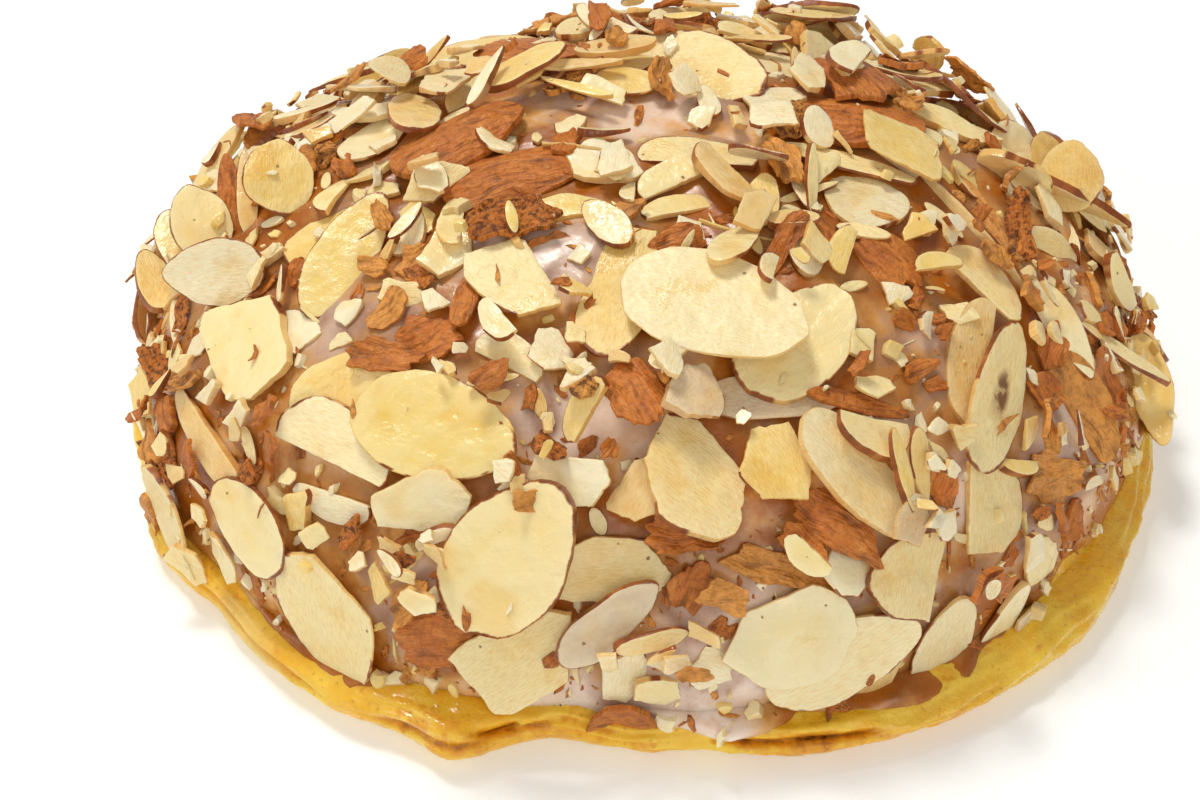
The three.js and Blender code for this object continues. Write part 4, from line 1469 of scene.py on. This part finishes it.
class SharedEffects:
    """The node groups that several finishes use: mottling, grain and specks."""

    def __init__(self) -> None:
        """Builds the groups once."""
        self.mottle = self.make_mottle()
        self.grain = self.make_grain()
        self.specks = self.make_specks()

    def start(self, name: str, values: dict[str, float]) -> tuple[ShaderTree, dict, Node]:
        """Makes an empty group with a Place input, named values and one Mask output.

        Args:
            name: the group's name.
            values: its number inputs and their plain values.

        Returns:
            The tree, its inputs by name, and its output node.
        """
        group = bpy.data.node_groups.new(name, "ShaderNodeTree")
        group.interface.new_socket("Place", in_out="INPUT", socket_type="NodeSocketVector")
        for key, value in values.items():
            socket = group.interface.new_socket(key, in_out="INPUT", socket_type="NodeSocketFloat")
            socket.default_value = value
        group.interface.new_socket("Mask", in_out="OUTPUT", socket_type="NodeSocketFloat")
        taken = group.nodes.new("NodeGroupInput")
        given = group.nodes.new("NodeGroupOutput")
        return ShaderTree(group), {out.name: out for out in taken.outputs if out.name}, given

    def make_mottle(self) -> bpy.types.NodeTree:
        """Makes soft uneven patches: Size is their width in millimetres."""
        values = {"Size": 5.0, "Detail": 3.0, "Low": 0.35, "High": 0.65}
        tree, given, out = self.start("mottling", values)
        scale = tree.math("DIVIDE", 1.0, given["Size"])
        texture = {
            "Vector": given["Place"], "Scale": scale, "Detail": given["Detail"], "Roughness": 0.55,
        }
        cloud = tree.add("TexNoise", texture)
        tree.feed(out.inputs[0], tree.span(cloud.outputs[0], given["Low"], given["High"]))
        return tree.tree

    def make_grain(self) -> bpy.types.NodeTree:
        """Makes fine lines along the first axis: Along and Across are their sizes in millimetres."""
        tree, given, out = self.start("grain", {"Along": 4.0, "Across": 0.3, "Waver": 0.5})
        bend = tree.add("TexNoise", {"Vector": given["Place"], "Scale": 0.22, "Detail": 1.0})
        shift = tree.swing(bend.outputs[0], given["Waver"])
        parts = tree.add("SeparateXYZ", {0: given["Place"]})
        along = tree.math("DIVIDE", parts.outputs[0], given["Along"])
        moved = tree.math("ADD", parts.outputs[1], tree.times(shift, 8.0))
        across = tree.math("DIVIDE", moved, given["Across"])
        drawn = tree.add("CombineXYZ", {0: along, 1: across, 2: parts.outputs[2]})
        texture = {"Vector": drawn.outputs[0], "Scale": 1.0, "Detail": 2.0, "Roughness": 0.6}
        lines = tree.add("TexNoise", texture)
        tree.feed(out.inputs[0], lines.outputs[0])
        return tree.tree

    def make_specks(self) -> bpy.types.NodeTree:
        """Makes scattered dots: Spacing and Size in millimetres, Share is how many cells hold one."""
        tree, given, out = self.start("specks", {"Spacing": 1.5, "Size": 0.2, "Share": 0.3})
        scale = tree.math("DIVIDE", 1.0, given["Spacing"])
        warp = tree.add("TexNoise", {"Vector": given["Place"], "Scale": 2.5, "Detail": 1.0})
        shaken = tree.add("VectorMath", {0: warp.outputs[1], 3: 0.25}, operation="SCALE")
        moved = tree.add("VectorMath", {0: given["Place"], 1: shaken.outputs[0]}, operation="ADD")
        cells = tree.add("TexVoronoi", {"Vector": moved.outputs[0], "Scale": scale})
        size = tree.math("DIVIDE", given["Size"], given["Spacing"])
        near = tree.math("SUBTRACT", 1.0, tree.math("DIVIDE", cells.outputs["Distance"], size))
        dot = tree.span(near, 0.0, 0.5)
        lot = tree.add("SeparateXYZ", {0: cells.outputs["Color"]})
        chosen = tree.math("LESS_THAN", lot.outputs[0], given["Share"])
        tree.feed(out.inputs[0], tree.times(dot, chosen))
        return tree.tree


@dataclass(frozen=True)
class Finish:
    """What every finish shares: its name, the common effects and how its material starts."""

    effects: SharedEffects
    name: str = "plain"

    def start(self) -> tuple[Material, ShaderTree, Node]:
        """Makes an empty material with a shader and its output."""
        material = bpy.data.materials.new(self.name)
        material.use_nodes = True
        material.node_tree.nodes.clear()
        tree = ShaderTree(material.node_tree)
        shader = tree.add("BsdfPrincipled")
        tree.add("OutputMaterial", {"Surface": shader.outputs[0]})
        return material, tree, shader

    def effect(
        self, tree: ShaderTree, group: bpy.types.NodeTree, place: Socket, **values: float
    ) -> Socket:
        """Places a shared effect with this finish's own values.

        Args:
            tree: the material's tree.
            group: which effect.
            place: the coordinates it reads.
            values: its inputs by name.

        Returns:
            Its mask.
        """
        node = tree.tree.nodes.new("ShaderNodeGroup")
        node.node_tree = group
        tree.feed(node.inputs["Place"], place)
        for key, value in values.items():
            tree.feed(node.inputs[key], value)
        return node.outputs["Mask"]

    def bumped(
        self, tree: ShaderTree, shader: Node, height: Fed, distance: float, strength: float
    ) -> None:
        """Gives the surface a fine relief, its depth in millimetres."""
        bump_node = tree.add("Bump", {"Height": height, "Distance": distance * MM, "Strength": strength})
        tree.feed(shader.inputs["Normal"], bump_node.outputs[0])

    def soften(
        self, shader: Node, weight: float, radius: tuple[float, float, float], scale: float
    ) -> None:
        """Lets a share of the light in under the surface, scale millimetres deep."""
        shader.inputs["Subsurface Weight"].default_value = weight
        shader.inputs["Subsurface Radius"].default_value = radius
        shader.inputs["Subsurface Scale"].default_value = scale * MM


@dataclass(frozen=True)
class BakedCrust(Finish):
    """Egg-washed crust: golden, browned in patches, with painted shade in its creases, pale low down,
    glossy where wet.
    """

    name: str = "baked_pastry"
    dough: Colour = srgb(246, 208, 112)
    straw: Colour = srgb(252, 210, 66)
    gold: Colour = srgb(246, 186, 28)
    amber: Colour = srgb(234, 162, 18)
    brown: Colour = srgb(192, 118, 20)
    dark: Colour = srgb(108, 52, 12)
    roughness: float = 0.42

    def build(self) -> Material:
        """Builds the material."""
        material, tree, shader = self.start()
        place = tree.place()
        _, (toast_and_shade, pale, wet) = tree.carried("bake")
        broad = self.effect(tree, self.effects.mottle, place, Size=7.0, Detail=3.0, Low=0.36, High=0.64)
        small = self.effect(tree, self.effects.mottle, place, Size=1.3, Detail=4.0, Low=0.35, High=0.65)
        flecks = self.effect(tree, self.effects.specks, place, Spacing=0.9, Size=0.28, Share=0.3)
        # The crust's darkness carries painted shade in the creases and under the front rim, and painted
        # light on the right-hand rim.
        shade = tree.math("ADD", toast_and_shade, tree.swing(small, 0.28))
        colour = tree.mix(broad, self.gold, self.straw)
        colour = tree.mix(tree.span(shade, 0.25, 0.6), colour, self.amber)
        colour = tree.mix(tree.span(shade, 0.6, 0.95), colour, self.brown)
        colour = tree.mix(tree.span(shade, 0.95, 1.15), colour, self.dark)
        colour = tree.mix(tree.span(pale, 0.25, 0.85), colour, self.dough)
        colour = tree.mix(tree.times(flecks, 0.35), colour, self.brown)
        tree.feed(shader.inputs["Base Color"], colour)
        patchy = tree.span(small, 0.1, 0.6, 0.55, 1.0)
        gloss = tree.times(tree.span(wet, 0.15, 0.7, 0.25, 1.0), patchy)
        tree.feed(shader.inputs["Coat Weight"], gloss)
        tree.feed(shader.inputs["Roughness"], tree.span(gloss, 0, 1, self.roughness, 0.2))
        shader.inputs["Coat Roughness"].default_value = 0.08
        self.soften(shader, 0.2, (1.0, 0.6, 0.25), 1.5)
        crinkle = tree.add("TexNoise", {"Vector": place, "Scale": 1.6, "Detail": 5.0, "Roughness": 0.62})
        self.bumped(tree, shader, crinkle.outputs[0], 0.4, 0.65)
        return material


@dataclass(frozen=True)
class SugarIcing(Finish):
    """Set sugar icing: lilac grey where it is thick, amber where the crust shows through, stained and in
    painted shade by the almonds.
    """

    name: str = "icing"
    film: Colour = srgb(182, 104, 22)
    thin: Colour = srgb(222, 168, 96)
    full: Colour = srgb(236, 212, 194)
    milk: Colour = srgb(246, 232, 222)
    stain_and_shade: Colour = srgb(136, 70, 16)

    def build(self) -> Material:
        """Builds the material."""
        material, tree, shader = self.start()
        place = tree.place()
        _, (depth, climb, _) = tree.carried("pour")
        cloud = self.effect(tree, self.effects.mottle, place, Size=5.0, Detail=3.0, Low=0.3, High=0.7)
        fine = self.effect(tree, self.effects.mottle, place, Size=1.1, Detail=3.0, Low=0.35, High=0.65)
        glints = self.effect(tree, self.effects.specks, place, Spacing=0.55, Size=0.2, Share=0.25)
        body = tree.math("ADD", depth, tree.swing(cloud, 0.4))
        colour = tree.mix(tree.span(body, 0.14, 0.48), self.film, self.thin)
        colour = tree.mix(tree.span(body, 0.36, 0.8), colour, self.full)
        colour = tree.mix(tree.times(tree.span(body, 0.75, 1.15), fine), colour, self.milk)
        # Painted shade and stain: the icing turns dark brown where it climbs an almond's side.
        stained_and_shaded = tree.times(tree.span(climb, 0.1, 0.75), tree.span(cloud, 0, 1, 0.3, 0.7))
        colour = tree.mix(stained_and_shaded, colour, self.stain_and_shade)
        tree.feed(shader.inputs["Base Color"], colour)
        tree.feed(shader.inputs["Roughness"], tree.span(fine, 0, 1, 0.27, 0.42))
        shader.inputs["Coat Weight"].default_value = 0.18
        shader.inputs["Coat Roughness"].default_value = 0.1
        self.soften(shader, 0.35, (1.0, 0.7, 0.5), 1.2)
        ripple = tree.add("TexNoise", {"Vector": place, "Scale": 0.7, "Detail": 2.0, "Roughness": 0.5})
        height = tree.math("ADD", ripple.outputs[0], tree.times(glints, 0.25))
        self.bumped(tree, shader, height, 0.16, 0.5)
        return material


@dataclass(frozen=True)
class AlmondKernel(Finish):
    """Cut almond: cream and waxy, with fine grain, small pits, a brown skin line at its own edge, and
    tan sides partly in painted shade.
    """

    name: str = "almond_kernel"
    butter: Colour = srgb(246, 208, 112)
    ivory: Colour = srgb(252, 238, 198)
    fibre: Colour = srgb(236, 206, 156)
    honey: Colour = srgb(246, 222, 166)
    skin: Colour = srgb(170, 98, 44)
    skin_dark: Colour = srgb(122, 62, 28)
    pit: Colour = srgb(140, 92, 44)
    germ: Colour = srgb(128, 84, 48)
    roughness: float = 0.44

    def build(self) -> Material:
        """Builds the material."""
        material, tree, shader = self.start()
        cut, _ = tree.carried("cut")
        _, (ring, natural, lot) = tree.carried("rim")
        patch = self.effect(tree, self.effects.mottle, cut, Size=6.0, Detail=2.0, Low=0.4, High=0.62)
        cloud = self.effect(tree, self.effects.mottle, cut, Size=2.2, Detail=4.0, Low=0.3, High=0.7)
        lines = self.effect(tree, self.effects.grain, cut, Along=1.1, Across=0.17, Waver=0.1)
        pits = self.effect(tree, self.effects.specks, cut, Spacing=3.4, Size=0.24, Share=0.5)
        rough = tree.span(lot, 0.25, 0.6)
        inner = tree.times(tree.span(ring, 0.95, 0.3), patch)
        colour = tree.mix(tree.times(inner, 0.28), tree.tone(), self.butter)
        border = tree.times(tree.span(ring, 0.62, 0.9), 0.3)
        bloom = tree.math("MAXIMUM", tree.times(cloud, 0.3), border)
        colour = tree.mix(bloom, colour, self.ivory)
        fibre = tree.times(tree.span(lines, 0.42, 0.66), tree.times(rough, 0.42))
        colour = tree.darken(fibre, colour, self.fibre)
        soaked = self.effect(tree, self.effects.mottle, cut, Size=8.0, Detail=2.0, Low=0.52, High=0.64)
        colour = tree.darken(tree.times(soaked, 0.4), colour, self.honey)
        heart = tree.times(tree.span(ring, 0.42, 0.18), tree.span(lot, 0.965, 0.975))
        heart = tree.times(heart, tree.span(cloud, 0.2, 0.6, 0.4, 1.0))
        colour = tree.mix(heart, colour, self.germ)
        colour = tree.mix(tree.times(pits, 0.85), colour, self.pit)
        line = tree.span(tree.math("ADD", ring, tree.swing(cloud, 0.05)), 0.95, 0.985)
        kept = tree.math("ADD", natural, tree.swing(patch, 0.8))
        kept = tree.times(tree.span(kept, 0.25, 0.5), tree.span(natural, 0.02, 0.12))
        skin = tree.mix(cloud, self.skin, self.skin_dark)
        # The cut sides are darkened: partly the almond's own tan, partly painted shade.
        wall_tint_and_shade = tree.times(tree.span(ring, 0.985, 0.999), 0.75)
        colour = tree.darken(wall_tint_and_shade, colour, self.fibre)
        colour = tree.mix(tree.times(line, kept), colour, skin)
        tree.feed(shader.inputs["Base Color"], colour)
        dull = tree.times(tree.span(rough, 0, 1, 0.6, 1.0), tree.span(soaked, 0, 1, 1.0, 0.5))
        tree.feed(shader.inputs["Roughness"], tree.times(dull, self.roughness))
        self.soften(shader, 0.25, (1.0, 0.62, 0.32), 1.5)
        height = tree.math("SUBTRACT", tree.times(tree.times(lines, rough), 0.9), pits)
        height = tree.math("ADD", height, tree.times(cloud, 1.3))
        self.bumped(tree, shader, height, 0.14, 0.7)
        return material


@dataclass(frozen=True)
class AlmondSkin(Finish):
    """Dry brown almond skin: wrinkled lengthways, dusty, with painted shade in its folds and pits."""

    name: str = "almond_skin"
    rust: Colour = srgb(220, 134, 48)
    brown: Colour = srgb(176, 86, 14)
    dark: Colour = srgb(72, 26, 5)
    dust: Colour = srgb(238, 176, 92)

    def build(self) -> Material:
        """Builds the material."""
        material, tree, shader = self.start()
        cut, _ = tree.carried("cut")
        _, (_, _, lot) = tree.carried("rim")
        patch = self.effect(tree, self.effects.mottle, cut, Size=3.0, Detail=4.0, Low=0.34, High=0.66)
        pitted = self.effect(tree, self.effects.mottle, cut, Size=0.7, Detail=3.0, Low=0.3, High=0.7)
        folds = self.effect(tree, self.effects.grain, cut, Along=5.0, Across=1.1, Waver=0.3)
        fibres = self.effect(tree, self.effects.grain, cut, Along=1.4, Across=0.22, Waver=0.2)
        dust = self.effect(tree, self.effects.specks, cut, Spacing=0.28, Size=0.09, Share=0.6)
        ribbed = tree.span(lot, 0.15, 0.4)
        colour = tree.mix(0.4, tree.tone(), tree.mix(patch, self.brown, self.rust))
        # Painted shade: the grooves of the folds are mixed towards dark.
        colour = tree.mix(tree.span(folds, 0.48, 0.3, 0.0, 0.55), colour, self.dark)
        colour = tree.mix(tree.span(fibres, 0.46, 0.3, 0.0, 0.14), colour, self.dark)
        ridge = tree.times(tree.span(fibres, 0.54, 0.7), tree.span(folds, 0.4, 0.6))
        colour = tree.mix(tree.times(ridge, 0.4), colour, self.dust)
        shadow = tree.times(tree.span(pitted, 0.5, 0.1), tree.span(ribbed, 0, 1, 0.8, 0.25))
        colour = tree.mix(shadow, colour, self.dark)
        colour = tree.mix(tree.times(dust, 0.5), colour, self.dust)
        tree.feed(shader.inputs["Base Color"], colour)
        shader.inputs["Roughness"].default_value = 0.52
        height = tree.math("ADD", tree.times(folds, 2.2), tree.times(fibres, 0.3))
        rough = tree.times(pitted, tree.span(ribbed, 0, 1, 1.0, 0.2))
        height = tree.math("ADD", height, tree.math("ADD", rough, tree.times(dust, 0.2)))
        self.bumped(tree, shader, height, 0.4, 0.95)
        return material


# ---------------------------------------------------------------- the studio


@dataclass(frozen=True)
class Lamp:
    """One soft square lamp that faces the pastry: its place and side in metres, its power in watts."""

    name: str
    place: tuple[float, float, float]
    side: float
    power: float
    colour: tuple[float, float, float] = (1.0, 0.95, 0.86)

    def hang(self) -> None:
        """Adds the lamp to the scene."""
        data = bpy.data.lights.new(self.name, "AREA")
        data.size, data.energy, data.color = self.side, self.power, self.colour
        lamp = bpy.data.objects.new(self.name, data)
        lamp.location = self.place
        lamp.rotation_euler = (-Vector(self.place)).to_track_quat("-Z", "Y").to_euler()
        bpy.context.scene.collection.objects.link(lamp)


@dataclass(frozen=True)
class Studio:
    """A pale floor, soft lamps and the camera."""

    camera_height: float = 44.0
    camera_distance: float = 230.0
    lens: float = 54.03
    shift: tuple[float, float] = (-41 / 1200, 12 / 1200)
    floor_side: float = 6.0
    floor_tone: Colour = (0.9, 0.94, 1.0, 1.0)
    floor_glow: float = 0.17
    floor_roughness: float = 0.7
    sky_tone: Colour = (1.0, 0.97, 0.9, 1.0)
    sky_strength: float = 0.3
    lamps: tuple[Lamp, ...] = (
        Lamp("key_lamp", (-0.2, 0.3, 0.8), 0.2, 3.95),
        Lamp("front_lamp", (0.12, -0.65, 0.5), 0.6, 2.3),
        Lamp("side_lamp", (-0.7, -0.1, 0.4), 0.4, 1.0),
        Lamp("spark_lamp", (-0.18, 0.12, 0.9), 0.05, 0.35),
    )

    def build(self) -> None:
        """Sets up everything that isn't part of the pastry."""
        self.place_camera()
        self.lay_floor()
        for lamp in self.lamps:
            lamp.hang()
        world = bpy.data.worlds.new("studio")
        world.use_nodes = True
        world.node_tree.nodes["Background"].inputs[0].default_value = self.sky_tone
        world.node_tree.nodes["Background"].inputs[1].default_value = self.sky_strength
        bpy.context.scene.world = world
        bpy.context.scene.view_settings.view_transform = "Standard"

    def place_camera(self) -> None:
        """Sets the camera at the height that a person looks down from."""
        lens = bpy.data.cameras.new("camera")
        lens.lens = self.lens
        lens.shift_x, lens.shift_y = self.shift
        lens.clip_start = 0.01
        camera = bpy.data.objects.new("camera", lens)
        angle = math.radians(self.camera_height)
        reach = self.camera_distance * MM
        camera.location = (0, -reach * math.cos(angle), reach * math.sin(angle))
        camera.rotation_euler = (math.radians(90 - self.camera_height), 0, 0)
        bpy.context.scene.collection.objects.link(camera)
        bpy.context.scene.camera = camera

    def lay_floor(self) -> None:
        """Lays the pale floor."""
        deselect()
        bpy.ops.mesh.primitive_plane_add(size=self.floor_side, location=(0, 0, 0))
        floor = bpy.context.object
        floor.name = "floor"
        material = bpy.data.materials.new("floor_paper")
        material.use_nodes = True
        shader = material.node_tree.nodes["Principled BSDF"]
        shader.inputs["Base Color"].default_value = self.floor_tone
        shader.inputs["Roughness"].default_value = self.floor_roughness
        shader.inputs["Emission Color"].default_value = (1, 1, 1, 1)
        shader.inputs["Emission Strength"].default_value = self.floor_glow
        floor.data.materials.append(material)


# ---------------------------------------------------------------- the whole pastry


@dataclass(frozen=True)
class Helping:
    """One helping of small pieces: how many, of what kinds, how large, and where they may lie."""

    count: int
    seed: int
    kinds: tuple[Kind, ...]
    shortest: float
    longest: float
    only_bare: bool
    standing: float
    tilted: float
    front_share: float
    down_to: float = 1.0

    def place(self, step: int, pile: AlmondPile) -> tuple[float, float]:
        """Gives the bearing and the drop of one try, evenly scattered."""
        bearing = 360 * ((0.31 + step * pile.scatter_round) % 1)
        down = math.sqrt((0.17 + step * pile.scatter_down) % 1)
        return bearing, 0.02 + 0.96 * self.down_to * down

    def lean(self, draw: Draw) -> float:
        """Gives a piece's lean in degrees: some stand on edge, some are tilted, the rest lie flat."""
        tilt = draw()
        lean = 30 + 50 * draw() if tilt < self.standing else 0
        if self.standing <= tilt < self.standing + self.tilted:
            lean = 8 + 20 * draw()
        return lean


@dataclass
class BearClaw:
    """The dressed pastry: it makes each piece, gives it its finish and hangs it on the frame.

    At the front and on the flanks, which are laid from the listed rows, the helpings' pieces are kept
    short, flat and off the rim.
    """

    form: PastryForm = field(default_factory=PastryForm)
    front_from: float = 0.3
    front_foot: float = 0.86
    front_length: float = 6.0
    front_width: float = 4.0
    large_length: float = 12.0
    bare_share: float = 0.48
    wide_share: float = 0.6
    blank_length: float = 8.4
    helpings: tuple[Helping, ...] = (
        Helping(110, 80, (C, W, W, C, H, K, C, S), 7.0, 12.0, True, 0.1, 0.6, 0.0),
        Helping(140, 81, (W, S, H, K, C, S, W, C), 7.0, 13.0, False, 0.22, 0.6, 0.0),
        Helping(60, 82, (H, C, W, S, C, K), 6.0, 11.0, True, 0.1, 0.6, 0.6, 0.42),
        Helping(150, 77, (C, C, K, C, C, K, S, H, C, K), 3.0, 7.5, True, 0.1, 0.3, 1.0),
        Helping(170, 78, (C, K, C, S, C, H, K, C, H, S), 4.5, 10.0, False, 0.25, 0.6, 0.03),
        Helping(120, 79, (C, K, C, K, S, C), 2.6, 5.5, True, 0.05, 0.3, 1.0),
    )
    small_tones: tuple[Tone, ...] = (
        Tone.WHITE, Tone.CREAM, Tone.PALE, Tone.YELLOW, Tone.WHITE, Tone.CREAM, Tone.TAN,
    )
    sorts: tuple[tuple[str, tuple[Kind, ...]], ...] = (
        ("almond_slices", (Kind.WHOLE, Kind.HALF, Kind.CORNER, Kind.BLUNT, Kind.BITTEN)),
        ("almond_chips", (Kind.CHIP,)),
        ("almond_slivers", (Kind.SLIVER,)),
    )
    crumb_sorts: tuple[CrumbSort, ...] = (
        CrumbSort("almond_crumbs", "almond_kernel", 420, 0.4, 2.8, 0.45, 1.6, 11, PALE_TONES, 0.15),
        CrumbSort("almond_splinters", "almond_kernel", 70, 0.4, 0.9, 0.5, 7.0, 12, PALE_TONES, 0.5),
        CrumbSort("skin_flecks", "almond_skin", 560, 0.35, 2.8, 0.1, 2.2, 13, SKIN_TONES, 0.1, 0.7),
        CrumbSort("skin_shreds", "almond_skin", 70, 0.3, 0.7, 0.4, 13.0, 14, SKIN_TONES, 0.6, 1.0, 0.5),
    )

    def lay_helping(self, helping: Helping, pile: AlmondPile, laid: list[Almond]) -> None:
        """Lays one helping of small pieces on the pile."""
        draw = seeded_random(helping.seed)
        wanted = len(laid) + helping.count
        step = 0
        while len(laid) < wanted:
            step += 1
            bearing, drop = helping.place(step, pile)
            kind = helping.kinds[int(draw() * len(helping.kinds))]
            heading, size = 180 * draw(), draw() ** 1.3
            length = helping.shortest + (helping.longest - helping.shortest) * size
            width = 1.0 + 0.9 * draw() if kind is S else length * (0.36 + 0.34 * draw())
            lean = helping.lean(draw)
            at_front = self.frontness(bearing, drop)
            is_front = at_front > self.front_from
            left_out = draw() < at_front * (1 - helping.front_share)
            if left_out or is_front and drop > self.front_foot:
                continue
            if is_front:
                lean, length, width = 0, min(length, self.front_length), min(width, self.front_width)
            hand_laid = [almond for almond in laid[:len(ROWS)] if almond.length >= self.large_length]
            kept_clear = laid if helping.only_bare else hand_laid
            share = self.wide_share if is_front and not helping.only_bare else self.bare_share
            if not self.is_bare(self.form.surface(bearing, drop), kept_clear, share):
                continue
            tone = self.small_tones[int(draw() * len(self.small_tones))]
            if kind is K:
                tone = Tone.BROWN if draw() < 0.7 else Tone.ORANGE
            row = (kind, bearing, drop, heading, length, width, lean, tone)
            pile.lay(Almond(*row, index=len(laid)), laid)
            if kind is C:
                laid[-1].breaks = [
                    (90 * side + 50 * draw(), 0.4 + 0.45 * draw()) for side in range(4)
                ]

    def frontness(self, bearing: float, drop: float) -> float:
        """Gives how much a place belongs to the front and the flanks, laid from the listed rows: 0 to 1.
        """
        around = smoothstep(bearing, 165, 190) * (1 - smoothstep(bearing, 340, 358))
        return float(around * smoothstep(drop, 0.2, 0.34))

    def is_bare(self, point: Array, laid: list[Almond], share: float) -> bool:
        """Tells whether no almond, grown to a share of its size, lies over a point of the dome."""
        for almond in laid:
            u, v, h = almond.local(point)
            if np.hypot(u / almond.length, v / almond.width) < share and abs(h) < 5:
                return False
        return True

    def dress(self, piece: Piece, material: Material, slot: str) -> None:
        """Hangs a piece on the frame in its finish, and reports it."""
        piece.data.materials.append(material)
        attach(piece, "root")
        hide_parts(NODE)
        piece.data.calc_loop_triangles()
        log.info("%s: %d triangles", piece.name, len(piece.data.loop_triangles))

    def lay_all(self, pile: AlmondPile) -> list[Almond]:
        """Lays every almond piece: the pile, the helpings on it and the fringe at the left foot."""
        laid = pile.build()
        for helping in self.helpings:
            self.lay_helping(helping, pile, laid)
        for row in LEFT_FRINGE:
            pile.lay(Almond(*row, index=len(laid)), laid)
        return laid

    def cut_sort(self, chosen: list[Almond], large: AlmondCutter, small: AlmondCutter) -> Sheet:
        """Cuts the chosen pieces, the short ones from a plainer blank, and joins them."""
        cutters = [large if almond.length > self.blank_length else small for almond in chosen]
        return Sheet.joined([cutter.cut(almond) for cutter, almond in zip(cutters, chosen)])

    def build_almonds(self, laid: list[Almond], kernel: Material, skin: Material) -> list[Sheet]:
        """Makes one object of each sort of almond piece.

        Args:
            laid: all the almond pieces.
            kernel: the finish of cut almond.
            skin: the finish of almond skin.

        Returns:
            The objects' mesh data.
        """
        cutters = AlmondCutter(SliceBlank(40).build()), AlmondCutter(SliceBlank(20, (0.08, 0.3)).build())
        husk = AlmondCutter(SliceBlank(56, (0.04, 0.09, 0.14, 0.16, 0.18, 0.18)).build())
        flake = AlmondCutter(SliceBlank(28, (0.06, 0.16, 0.3)).build())
        browns = (Tone.BROWN, Tone.ORANGE)
        sheets: list[Sheet] = []
        for name, kinds in self.sorts:
            chosen = [almond for almond in laid if almond.tone not in browns and almond.kind in kinds]
            sheets.append(self.cut_sort(chosen, *cutters))
            self.dress(sheets[-1].write(name, sharp=40), kernel, "almond_kernel")
        brown_ones = [almond for almond in laid if almond.tone in browns]
        sheets.append(self.cut_sort(brown_ones, husk, flake))
        self.dress(sheets[-1].write("almond_skins", sharp=40), skin, "almond_skin")
        return sheets

    def build(self) -> None:
        """Builds every piece, from the crust outwards."""
        effects = SharedEffects()
        crust, icing = BakedCrust(effects).build(), SugarIcing(effects).build()
        kernel, skin = AlmondKernel(effects).build(), AlmondSkin(effects).build()
        pile = AlmondPile(self.form)
        laid = self.lay_all(pile)
        self.dress(Crust(self.form).build(), crust, "baked_pastry")
        icing_piece = Icing(self.form).build(laid)
        self.dress(icing_piece, icing, "icing")
        sheets = self.build_almonds(laid, kernel, skin)
        lander = Lander(Sheet.copied(icing_piece, MM), sheets, self.form)
        for sort in self.crumb_sorts:
            piece = Crumbs(sort, lander, pile).build()
            self.dress(piece, skin if sort.slot == "almond_skin" else kernel, sort.slot)


def main() -> None:
    """Builds the studio and the pastry, whose pieces log their triangle counts."""
    logging.basicConfig(level=logging.INFO, format="%(name)s: %(message)s")
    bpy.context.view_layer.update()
    Studio().build()
    BearClaw().build()


if __name__ == "__main__":
    main()
